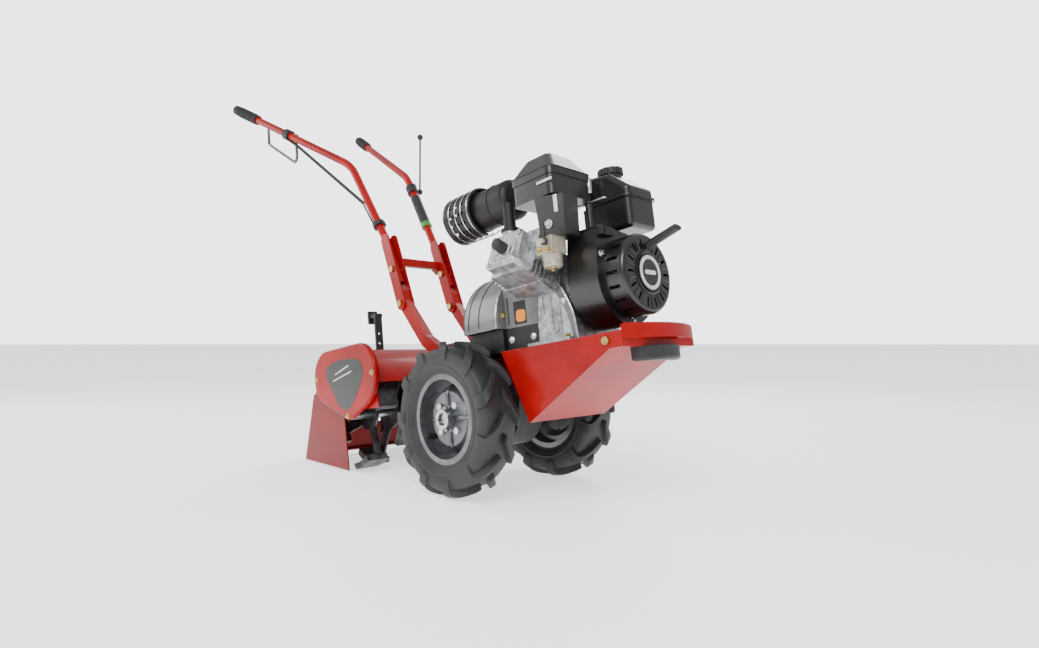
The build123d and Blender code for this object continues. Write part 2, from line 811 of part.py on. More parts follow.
bail_drop = 90
bail_length = 205
bail_radius = 4.5
rise = upper_run.Z / -upper_run.X
with BuildPart() as drive_bail:
    with BuildSketch(Plane.XZ.offset(bail_plane - 4)):
        with Locations((bail_pivot.X, bail_pivot.Z)):
            Circle(9)
            Circle(control_pin_radius + run_gap, mode=Mode.SUBTRACT)
    extrude(amount=8)
    with BuildLine() as bail_line:
        FilletPolyline(
            (bail_pivot.X, -bail_plane, bail_pivot.Z - 8),
            (bail_pivot.X, -bail_plane, bail_pivot.Z - bail_drop),
            (bail_pivot.X - bail_length, -bail_plane, bail_pivot.Z - bail_drop + bail_length * rise),
            (bail_pivot.X - bail_length, -bail_plane, bail_pivot.Z - 20 + bail_length * rise),
            radius=14,
        )
    with BuildSketch(Plane(origin=bail_line.line @ 0, z_dir=bail_line.line % 0)):
        Circle(bail_radius)
    sweep()
keep("drive_bail", drive_bail)

lever_rod = 165
rod_dir = Vector(sin(radians(nose_up)), 0, cos(radians(nose_up)))
rod_start = Vector(lever_pivot.X, lever_plane, lever_pivot.Z) + rod_dir * 7
with BuildPart() as reverse_lever:
    with BuildSketch(side(lever_plane + 4)):
        with Locations((lever_pivot.X, lever_pivot.Z)):
            Circle(9)
            Circle(control_pin_radius + run_gap, mode=Mode.SUBTRACT)
    extrude(amount=8)
    with BuildSketch(Plane(origin=rod_start, z_dir=rod_dir)):
        Circle(3)
    extrude(amount=lever_rod)
    with Locations(rod_start + rod_dir * lever_rod):
        Sphere(9)
keep("reverse_lever", reverse_lever)

cable_radius = 2.5
cable_offset = 14            # from the tube's axis to the cables'
below_upper = Vector(-upper_run.Z, 0, upper_run.X)
behind_lower = Vector(-lower_run.Z, 0, lower_run.X)
cable_route = (
    bail_pivot - upper_run * 14 + below_upper * cable_offset,
    bail_pivot - upper_run * 60 + below_upper * (cable_offset + 6),
    tube_low + lower_run * 150 + behind_lower * (cable_offset + 3),
    tube_low + lower_run * (tie_height + 1.5) + behind_lower * cable_offset,
)
with BuildPart() as control_cables:
    for spread in (-5, 5):
        with BuildLine() as cable_line:
            FilletPolyline(*[(point.X, -point.Y + spread, point.Z) for point in cable_route], radius=(90, 80))
        with BuildSketch(Plane(origin=cable_line.line @ 0, z_dir=cable_line.line % 0)):
            Circle(cable_radius)
        sweep()
keep("control_cables", control_cables)

# ===========================================================================================
# Engine: crankcase, cylinder, shrouds, tank, air cleaner, muffler and small controls
# ===========================================================================================
bore_dir = Vector(0, -cos(radians(bore_angle)), sin(radians(bore_angle)))
bore_origin = Vector(bore_x, 0, crank_z)


def bore_plane(distance):
    """A plane square to the cylinder, at a distance from the crankshaft."""
    return Plane(origin=bore_origin + bore_dir * distance, x_dir=(1, 0, 0), z_dir=bore_dir)


# A sheet shroud stands between the deck and the cylinder and hides the fins from the operator's side.
shroud_foot = (124, -96)
shroud_heading = (174, 18, 0)
shroud_sheet = 4
shroud_outline = ((-2, 128), (-2, 262), (27, 281), (71, 287), (114, 274), (137, 257), (157, 219), (172, 180), (178, 128))
with BuildPart() as crankcase:
    with BuildSketch(Plane.YZ.offset(block_rear)):
        with Locations((0, crank_z)):
            Circle(block_radius)
        with Locations((0, deck_top + 40)):
            Rectangle(2 * block_radius, 80)
        make_hull()
    extrude(amount=block_front - block_rear)
    with Locations(((block_rear + block_front) / 2, 0, deck_top + foot_thickness / 2)):
        Box(block_front - block_rear, 2 * block_radius + 40, foot_thickness)
    with BuildSketch(bore_plane(0)):
        Rectangle(96, 92)
    extrude(amount=head_start)
    with BuildSketch(Plane.YZ.offset(block_rear + 8)):
        with Locations((0, crank_z)):
            Circle(54)
    extrude(amount=block_front - block_rear - 16, mode=Mode.SUBTRACT)
    with BuildSketch(bore_plane(0)):
        Circle(bore_radius)
    extrude(amount=head_start, mode=Mode.SUBTRACT)
    with BuildSketch(Plane.YZ.offset(block_rear - 1)):
        with Locations((0, crank_z)):
            Circle(crank_radius + run_gap)
    extrude(amount=block_front - block_rear + 2, mode=Mode.SUBTRACT)
    for fin in range(4):
        with BuildSketch(bore_plane(78 + fin * 10)):
            with Locations((0, 8)):
                Rectangle(110, 90)
            Circle(bore_radius, mode=Mode.SUBTRACT)
        extrude(amount=3)
    shroud_plane = Plane(
        origin=(*shroud_foot, 0), x_dir=shroud_heading, z_dir=(shroud_heading[1], -shroud_heading[0], 0)
    )
    with BuildSketch(shroud_plane):
        with BuildLine():
            Line(shroud_outline[0], shroud_outline[1])
            Spline(*shroud_outline[1:])
            Line(shroud_outline[-1], shroud_outline[0])
        make_face()
    extrude(amount=-shroud_sheet)
    with BuildSketch(Plane.XY.offset(deck_top)):
        with Locations(*engine_feet):
            Circle(foot_bolt_radius)
    extrude(amount=foot_thickness, mode=Mode.SUBTRACT)
    # The shroud is notched round the heads of the foot bolts.
    with BuildSketch(Plane.XY.offset(deck_top + foot_thickness)):
        with Locations(*engine_feet):
            Circle(foot_head_radius + 1)
    extrude(amount=foot_head_height + 1, mode=Mode.SUBTRACT)
    with BuildSketch(bore_plane(0)):
        Circle(bore_radius)
    extrude(amount=head_start, mode=Mode.SUBTRACT)
keep("crankcase", crankcase)

exhaust_place = (176, -110)
with BuildPart() as cylinder_head:
    with BuildSketch(bore_plane(head_start)):
        Rectangle(94, 88)
    extrude(amount=head_end - head_start)
    for fin in range(4):
        with BuildSketch(bore_plane(head_start + 3 + fin * 11)):
            with Locations((0, 6)):
                Rectangle(116, 98)
        extrude(amount=3)
    with BuildSketch(Plane.XY.offset(330)):
        with Locations(exhaust_place):
            Circle(17)
    extrude(amount=40)
    with BuildSketch(Plane.YZ.offset(bore_x + 40)):
        with Locations((-128, 300)):
            Circle(16)
    extrude(amount=26)
keep("cylinder_head", cylinder_head)

with BuildPart() as valve_cover:
    with BuildSketch(bore_plane(head_end)):
        RectangleRounded(88, 78, 12)
    extrude(amount=cover_end - head_end)
keep("valve_cover", valve_cover)

with BuildPart() as piston:
    with BuildSketch(bore_plane(70)):
        Circle(bore_radius - run_gap)
        Circle(bore_radius - 5, mode=Mode.SUBTRACT)
    extrude(amount=40)
    with BuildSketch(bore_plane(104)):
        Circle(bore_radius - run_gap)
    extrude(amount=6)
keep("piston", piston)

with BuildPart() as crankshaft:
    with BuildSketch(Plane.YZ.offset(belt_x - 14)):
        with Locations((0, crank_z)):
            Circle(crank_radius)
    extrude(amount=370 - belt_x + 14)
    with BuildSketch(Plane.YZ.offset(block_rear + 14)):
        with Locations((0, crank_z)):
            Circle(34)
    extrude(amount=22)
    with BuildSketch(Plane.YZ.offset(block_front - 36)):
        with Locations((0, crank_z)):
            Circle(34)
    extrude(amount=22)
keep("crankshaft", crankshaft)

with BuildPart() as flywheel:
    with BuildSketch(Plane.YZ.offset(322)):
        with Locations((0, crank_z)):
            Circle(flywheel_radius)
            Circle(crank_radius, mode=Mode.SUBTRACT)
    extrude(amount=14)
    with BuildSketch(Plane.YZ.offset(336)):
        with Locations((0, crank_z)):
            with PolarLocations(54, 12):
                Rectangle(26, 4, rotation=20)
    extrude(amount=16)
keep("flywheel", flywheel)

lobe_place = (-66, 324)


def blower_outline(shrink):
    """The fan shroud's outline: a circle about the crankshaft with a lobe up beside the cylinder."""
    with BuildSketch() as outline:
        with Locations((0, crank_z)):
            Circle(blower_radius - shrink)
        with Locations(lobe_place):
            Circle(14 - shrink * 0.6)
        make_hull()
    return outline.sketch


throttle_place = (345, -58)
throttle_z = 386
post_foot = 330
switch_place = (blower_front + 6, -60, 322)
blower_outer = blower_outline(0)
blower_inner = blower_outline(blower_wall)
with BuildPart() as blower_housing:
    with BuildSketch(Plane.YZ.offset(blower_rear)):
        add(blower_outer)
    extrude(amount=blower_front - blower_rear)
    with BuildSketch(Plane.YZ.offset(blower_rear + blower_wall)):
        add(blower_inner)
    extrude(amount=blower_front - blower_rear - 2 * blower_wall, mode=Mode.SUBTRACT)
    with BuildSketch(Plane.YZ.offset(blower_rear - 1)):
        with Locations((0, crank_z)):
            Circle(crank_radius + 8)
    extrude(amount=20, mode=Mode.SUBTRACT)
    with BuildSketch(Plane.YZ.offset(blower_front + 1)):
        with Locations((0, crank_z)):
            Circle(recoil_radius - 8)
    extrude(amount=-20, mode=Mode.SUBTRACT)
    with BuildSketch(Plane.YZ.offset(block_front)):
        with Locations((0, crank_z)):
            Circle(50)
            Circle(crank_radius + 8, mode=Mode.SUBTRACT)
    extrude(amount=blower_rear - block_front)
    with BuildSketch(Plane.XY.offset(post_foot)):
        with Locations(throttle_place):
            Circle(7)
    extrude(amount=throttle_z - body_gap - post_foot)
    with BuildSketch(Plane.XY.offset(post_foot)):
        with Locations(throttle_place):
            Circle(control_pin_radius)
    extrude(amount=throttle_z + 6 - post_foot)
    for cheek_y in (switch_place[1] - 16.5, switch_place[1] + 16.5):
        with BuildSketch(side(cheek_y + 3.5)):
            with Locations((blower_front + 5, switch_place[2])):
                Rectangle(12, 14)
            with Locations((switch_place[0], switch_place[2])):
                Circle(control_pin_radius + run_gap, mode=Mode.SUBTRACT)
        extrude(amount=7)
keep("blower_housing", blower_housing)

rope_place = (0, crank_z + 51)
with BuildPart() as recoil_housing:
    with BuildSketch(Plane.YZ.offset(blower_front)):
        with Locations((0, crank_z)):
            Circle(recoil_radius)
    extrude(amount=recoil_front - blower_front)
    fillet(recoil_housing.faces().sort_by(Axis.X)[-1].edges(), 9)
    with BuildSketch(Plane.YZ.offset(blower_front)):
        with Locations((0, crank_z)):
            Circle(recoil_radius - 6)
    extrude(amount=recoil_front - blower_front - 8, mode=Mode.SUBTRACT)
    with BuildSketch(Plane.YZ.offset(recoil_front)):
        with Locations((0, crank_z)):
            Circle(36)
    extrude(amount=4)
    with BuildSketch(Plane.YZ.offset(recoil_front + 10)):
        with Locations((0, crank_z)):
            with PolarLocations(57, 14, start_angle=180 / 14 + 90):
                SlotOverall(20, 5)
        with Locations(rope_place):
            Circle(5)
    extrude(amount=-30, mode=Mode.SUBTRACT)
    with BuildSketch(Plane.YZ.offset(blower_front + 10)):
        with Locations((0, crank_z)):
            with PolarLocations(recoil_radius, 18):
                Rectangle(18, 7)
    extrude(amount=24, mode=Mode.SUBTRACT)
keep("recoil_housing", recoil_housing)

grip_dir = Vector(0.966, 0, 0.258)
grip_start = Vector(recoil_front + 7, rope_place[0], rope_place[1] + 1)
with BuildPart() as recoil_handle:
    with BuildSketch(Plane(origin=grip_start, z_dir=grip_dir)):
        Ellipse(8, 11)
    with BuildSketch(Plane(origin=grip_start + grip_dir * 68, z_dir=grip_dir)):
        Ellipse(6, 14)
    loft()
    with BuildSketch(Plane.YZ.offset(recoil_front - 60)):
        with Locations(rope_place):
            Circle(2)
    extrude(amount=72)
keep("recoil_handle", recoil_handle)

with BuildPart() as engine_switch:
    with BuildSketch(Plane.YZ.offset(switch_place[0] + 3)):
        with Locations((switch_place[1], switch_place[2])):
            Rectangle(20, 16)
    extrude(amount=4)
    with BuildSketch(side(switch_place[1] + 19)):
        with Locations((switch_place[0], switch_place[2])):
            Circle(control_pin_radius)
    extrude(amount=38)
keep("engine_switch", engine_switch)

tank_rear = 288
tank_front = 400
tank_right = 2
tank_left = 102
tank_bottom = 340
tank_rear_top = 468
tank_front_top = 424
tank_middle = ((tank_rear + tank_front) / 2, (tank_right + tank_left) / 2)
seam_z = 402
seam_flange = 5
filler_place = (326, tank_middle[1])
filler_top = 470
with BuildPart() as fuel_tank:
    with BuildSketch(side(tank_left - seam_flange)):
        with BuildLine():
            Polyline(
                (tank_rear + seam_flange, tank_bottom), (tank_front - seam_flange, tank_bottom),
                (tank_front - seam_flange, tank_front_top), (filler_place[0] + 24, tank_rear_top - 6),
                (tank_rear + seam_flange, tank_rear_top), close=True,
            )
        make_face()
    extrude(amount=tank_left - tank_right - 2 * seam_flange)
    fillet(fuel_tank.edges(), 11)
    with BuildSketch(Plane.XY.offset(seam_z)):
        with Locations(tank_middle):
            RectangleRounded(tank_front - tank_rear, tank_left - tank_right, 16)
    extrude(amount=seam_flange)
    with BuildSketch(Plane.XY.offset(seam_z)):
        with Locations(filler_place):
            Circle(23)
    extrude(amount=filler_top - seam_z)
    with Locations((280, 40, (308 + seam_z) / 2 + 2)):
        Box(18, 44, seam_z - 304)
keep("fuel_tank", fuel_tank)

with BuildPart() as fuel_cap:
    with BuildSketch(Plane.XY.offset(filler_top + body_gap)):
        with Locations(filler_place):
            Circle(27)
            with PolarLocations(27, 12):
                Circle(2.5, mode=Mode.SUBTRACT)
    extrude(amount=14)
    fillet(fuel_cap.faces().sort_by(Axis.Z)[-1].edges(), 2)
keep("fuel_cap", fuel_cap)

air_box_low = (206, -128, 409)
air_box_high = (318, -8, 505)
lid_z = 449
air_middle = ((air_box_low[0] + air_box_high[0]) / 2, (air_box_low[1] + air_box_high[1]) / 2)
air_size = (air_box_high[0] - air_box_low[0], air_box_high[1] - air_box_low[1])
with BuildPart() as air_cleaner_base:
    with BuildSketch(Plane.XY.offset(air_box_low[2])):
        with Locations(air_middle):
            RectangleRounded(*air_size, 14)
    extrude(amount=lid_z - air_box_low[2])
    with BuildSketch(Plane.XY.offset(air_box_low[2] + 5)):
        with Locations(air_middle):
            RectangleRounded(air_size[0] - 8, air_size[1] - 8, 10)
    extrude(amount=lid_z, mode=Mode.SUBTRACT)
    with BuildSketch(Plane.XZ.offset(86)):
        with BuildLine():
            Polyline(
                (268, air_box_low[2] + 3), (342, air_box_low[2] - 10), (338, 322), (276, 322), close=True,
            )
        make_face()
    extrude(amount=42)
keep("air_cleaner_base", air_cleaner_base)

with BuildPart() as air_cleaner_cover:
    with BuildSketch(Plane.XY.offset(lid_z)):
        with Locations(air_middle):
            RectangleRounded(air_size[0] + 4, air_size[1] + 4, 15)
    extrude(amount=14)
    with BuildSketch(Plane.XY.offset(lid_z + 14)):
        with Locations(air_middle):
            RectangleRounded(air_size[0] + 4, air_size[1] + 4, 15)
    with BuildSketch(Plane.XY.offset(air_box_high[2])):
        with Locations((air_middle[0] - 6, air_middle[1] + 8)):
            RectangleRounded(air_size[0] - 46, air_size[1] - 44, 12)
    loft()
    with BuildSketch(Plane.XY.offset(lid_z)):
        with Locations(air_middle):
            RectangleRounded(air_size[0] - 6, air_size[1] - 6, 11)
    extrude(amount=12, mode=Mode.SUBTRACT)
keep("air_cleaner_cover", air_cleaner_cover)

with BuildPart() as air_filter:
    with BuildSketch(Plane.XY.offset(air_box_low[2] + 5)):
        with Locations(air_middle):
            RectangleRounded(air_size[0] - 24, air_size[1] - 24, 10)
            RectangleRounded(air_size[0] - 56, air_size[1] - 56, 6, mode=Mode.SUBTRACT)
    extrude(amount=lid_z + 8 - air_box_low[2] - 5)
keep("air_filter", air_filter)

carb_y = -128
with BuildPart() as carburetor:
    with Locations((300, carb_y, 306)):
        Box(40, 40, 32)
    with BuildSketch(Plane.XY.offset(264)):
        with Locations((300, carb_y)):
            Circle(19)
    extrude(amount=27)
    fillet(carburetor.edges().filter_by(GeomType.CIRCLE).sort_by(Axis.Z)[0], 5)
    with BuildSketch(side(carb_y - 20)):
        with Locations((306, 312)):
            Circle(4)
    extrude(amount=12)
keep("carburetor", carburetor)

with BuildPart() as choke_lever:
    with BuildSketch(side(carb_y - 24)):
        with Locations((306, 312)):
            Circle(8)
        with Locations((306, 330)):
            Rectangle(8, 30)
        with Locations((306, 312)):
            Circle(4 + run_gap, mode=Mode.SUBTRACT)
    extrude(amount=3)
keep("choke_lever", choke_lever)

with BuildPart() as throttle_lever:
    with BuildSketch(Plane.XY.offset(throttle_z)):
        with Locations((throttle_place[0] + 3, throttle_place[1])):
            SlotOverall(80, 10)
        with Locations(throttle_place):
            Circle(control_pin_radius + run_gap, mode=Mode.SUBTRACT)
    extrude(amount=3)
keep("throttle_lever", throttle_lever)

muffler_y = -78
muffler_z = 450
muffler_rear = 10
muffler_front = 176
muffler_radius = 44
with BuildPart() as muffler:
    with BuildSketch(Plane.YZ.offset(muffler_rear)):
        with Locations((muffler_y, muffler_z)):
            Circle(muffler_radius)
    extrude(amount=muffler_front - muffler_rear)
    fillet(muffler.edges().filter_by(GeomType.CIRCLE), 16)
    with BuildSketch(Plane.XY.offset(370)):
        with Locations(exhaust_place):
            Circle(13)
    extrude(amount=60)
    with BuildSketch(Plane.XY.offset(370)):
        with Locations(exhaust_place):
            Circle(20)
    extrude(amount=6)
keep("muffler", muffler)

guard_rear = -14
guard_front = 74
guard_radius = 54
guard_sheet = 4
with BuildPart() as muffler_guard:
    with BuildSketch(Plane.YZ.offset(guard_rear)):
        with Locations((muffler_y, muffler_z)):
            Circle(guard_radius)
            Circle(guard_radius - guard_sheet, mode=Mode.SUBTRACT)
            with Locations((40, -40)):
                Rectangle(80, 80, mode=Mode.SUBTRACT)
    extrude(amount=guard_front - guard_rear)
    for turn in range(12):
        angle = radians(6 + 22.5 * turn)
        outward = (0, cos(angle), sin(angle))
        slot_plane = Plane(origin=(0, muffler_y, muffler_z), x_dir=(1, 0, 0), z_dir=outward)
        with BuildSketch(slot_plane):
            with Locations(*[(x, 0) for x in range(guard_rear + 18, guard_front - 8, 21)]):
                SlotOverall(16, 8)
        extrude(amount=70, mode=Mode.SUBTRACT)
    with BuildSketch(Plane.YZ.offset(guard_rear - guard_sheet)):
        with Locations((muffler_y, muffler_z)):
            Circle(guard_radius)
            with GridLocations(16, 16, 5, 5):
                Circle(5.4, mode=Mode.SUBTRACT)
    extrude(amount=guard_sheet)
    with BuildSketch(Plane.YZ.offset(guard_rear)):
        with Locations((muffler_y, muffler_z)):
            Circle(8)
    extrude(amount=muffler_rear - guard_rear)
keep("muffler_guard", muffler_guard)

with BuildPart() as spark_plug:
    with BuildSketch(bore_plane(cover_end)):
        Circle(9)
    extrude(amount=4)
    with BuildSketch(bore_plane(cover_end + 4)):
        Circle(12)
    extrude(amount=24)
    fillet(spark_plug.edges().filter_by(GeomType.CIRCLE).sort_by(Axis.Y)[0], 5)
keep("spark_plug", spark_plug)

with BuildPart() as frame_bolts:
    with BuildSketch(Plane.XY.offset(deck_top - deck_sheet - foot_head_height)):
        with Locations(*engine_feet):
            RegularPolygon(foot_head_radius, 6)
    extrude(amount=foot_head_height)
    with BuildSketch(Plane.XY.offset(deck_top - deck_sheet)):
        with Locations(*engine_feet):
            Circle(foot_bolt_radius)
    extrude(amount=deck_sheet + foot_thickness)
    with BuildSketch(Plane.XY.offset(deck_top + foot_thickness)):
        with Locations(*engine_feet):
            RegularPolygon(foot_head_radius, 6)
    extrude(amount=foot_head_height)
    for outward in (1, -1):
        with BuildSketch(side(outward * (deck_half - deck_sheet))):
            with Locations(deck_bolt):
                Circle(foot_bolt_radius)
        extrude(amount=-outward * deck_sheet)
        with BuildSketch(side(outward * deck_half)):
            with Locations(deck_bolt):
                RegularPolygon(8, 6)
        extrude(amount=-outward * 6)
        with BuildSketch(side(outward * case_half)):
            with Locations(*case_bolts):
                RegularPolygon(6.5, 6)
        extrude(amount=-outward * 5)
    with BuildSketch(Plane.XY.offset(case_top + 4)):
        for bolt_x in (hood_front_x + 20, -135, -95):
            with Locations((bolt_x, 18), (bolt_x, -18)):
                RegularPolygon(7, 6)
    extrude(amount=5)
keep("frame_bolts", frame_bolts)

# ===========================================================================================
# Tip the machine onto its tines and move the origin to the middle of its footprint
# ===========================================================================================
tipped = {name: Rot(0, -nose_up, 0) * piece for name, piece in pieces.items()}
boxes = [piece.bounding_box() for piece in tipped.values()]
rear_x = min(box.min.X for box in boxes)
front_x = max(box.max.X for box in boxes)
ground_z = min(box.min.Z for box in boxes)
origin_shift = (-(rear_x + front_x) / 2, 0, -ground_z)
for name, piece in tipped.items():
    placed = Pos(*origin_shift) * piece
    placed.label = name
    export_step(placed, f"parts/{name}.step")
print(len(pieces), "pieces, length", front_x - rear_x, "origin shift", origin_shift)
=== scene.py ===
"""Looks of a rear-tine garden tiller: materials on the CAD pieces, and the pieces that CAD leaves plain."""
import math

import bmesh
import bpy
from mathutils import Matrix, Vector


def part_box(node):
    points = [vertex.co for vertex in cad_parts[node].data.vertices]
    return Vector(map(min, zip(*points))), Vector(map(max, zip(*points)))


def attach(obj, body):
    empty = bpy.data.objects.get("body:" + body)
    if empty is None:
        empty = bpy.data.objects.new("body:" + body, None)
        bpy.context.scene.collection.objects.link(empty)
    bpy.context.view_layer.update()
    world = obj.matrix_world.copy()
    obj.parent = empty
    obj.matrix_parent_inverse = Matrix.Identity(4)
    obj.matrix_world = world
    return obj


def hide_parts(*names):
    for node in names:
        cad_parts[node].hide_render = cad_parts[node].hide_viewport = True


bl_info = {
    "name": "Garden tiller",
    "version": (1, 0, 0),
    "blender": (4, 5, 0),
    "location": "View3D > Sidebar > Tiller",
    "description": "Builds the visible pieces of a rear-tine garden tiller on its frame",
    "category": "Object",
}

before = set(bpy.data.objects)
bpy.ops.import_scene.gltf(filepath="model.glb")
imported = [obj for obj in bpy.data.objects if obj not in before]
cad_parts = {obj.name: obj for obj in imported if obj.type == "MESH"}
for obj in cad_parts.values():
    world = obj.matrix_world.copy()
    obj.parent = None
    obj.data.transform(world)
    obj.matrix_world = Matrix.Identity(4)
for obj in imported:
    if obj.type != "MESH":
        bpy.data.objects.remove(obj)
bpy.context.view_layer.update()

MM = 0.001
NOSE_UP = math.radians(7.8)
axle_low, axle_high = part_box("wheel_axle")
AXLE = (Vector(axle_low) + Vector(axle_high)) / 2
# The deck frame: its origin is the wheel axle's middle, X runs forward along the sloping engine deck.
DECK = Matrix.Translation(AXLE) @ Matrix.Rotation(-NOSE_UP, 4, "Y")
WHEEL_TRACK = 157
CRANK_Z = 238
BORE_ANGLE = math.radians(25)
COVER_Z = 188
COVER_RADIUS = 122
DECK_HALF = 118
HOOD_FACE = 215              # outer face of the hood's end caps, from the middle
MUFFLER_Y = -78
MUFFLER_Z = 450
GUARD_RADIUS = 54.6


# ---- Colour and node helpers --------------------------------------------------------------
def linear(code):
    """An sRGB hex code as the linear RGBA that shaders use."""
    channels = [int(code[i:i + 2], 16) / 255 for i in (1, 3, 5)]
    return [c / 12.92 if c <= 0.04045 else ((c + 0.055) / 1.055) ** 2.4 for c in channels] + [1.0]


def add_node(tree, kind, settings=None, values=None, links=None):
    """Adds a node, sets its properties and input values, and links inputs to other nodes' outputs."""
    node = tree.nodes.new(kind)
    for key, value in (settings or {}).items():
        setattr(node, key, value)
    for key, value in (values or {}).items():
        node.inputs[key].default_value = value
    for key, source in (links or {}).items():
        tree.links.new(source, node.inputs[key])
    return node


def start_material(name, metallic, roughness, ior=None, coat=0.0):
    """A material with its shader's fixed values set on the shader itself."""
    material = bpy.data.materials.new(name)
    material.use_nodes = True
    shader = material.node_tree.nodes["Principled BSDF"]
    shader.inputs["Metallic"].default_value = metallic
    shader.inputs["Roughness"].default_value = roughness
    if ior:
        shader.inputs["IOR"].default_value = ior
    if coat:
        shader.inputs["Coat Weight"].default_value = coat
        shader.inputs["Coat Roughness"].default_value = 0.08
    return material, material.node_tree, shader


def surface(name, dark, light, metallic=0.0, roughness=(0.3, 0.5), grain_mm=2.0, bump=0.1, ior=None, coat=0.0,
            patch_mm=60.0):
    """Two tones in soft patches with a fine grain, where grain_mm is the size of the grain on the object."""
    material, tree, shader = start_material(name, metallic, roughness[0], ior, coat)
    place = add_node(tree, "ShaderNodeTexCoord").outputs["Object"]
    patches = add_node(tree, "ShaderNodeTexNoise", links={"Vector": place},
                       values={"Scale": 1000 / patch_mm, "Detail": 4.0, "Roughness": 0.6})
    tone = add_node(tree, "ShaderNodeValToRGB", links={"Fac": patches.outputs["Fac"]})
    tone.color_ramp.elements[0].position = 0.35
    tone.color_ramp.elements[0].color = linear(dark)
    tone.color_ramp.elements[1].position = 0.68
    tone.color_ramp.elements[1].color = linear(light)
    tree.links.new(tone.outputs["Color"], shader.inputs["Base Color"])
    grain = add_node(tree, "ShaderNodeTexNoise", links={"Vector": place},
                     values={"Scale": 1000 / grain_mm, "Detail": 3.0})
    gloss = add_node(tree, "ShaderNodeMapRange", values={"To Min": roughness[0], "To Max": roughness[1]},
                     links={"Value": patches.outputs["Fac"]})
    tree.links.new(gloss.outputs["Result"], shader.inputs["Roughness"])
    height = add_node(tree, "ShaderNodeBump", values={"Strength": bump, "Distance": grain_mm * MM * 0.5},
                      links={"Height": grain.outputs["Fac"]})
    tree.links.new(height.outputs["Normal"], shader.inputs["Normal"])
    return material


MATERIALS = {}


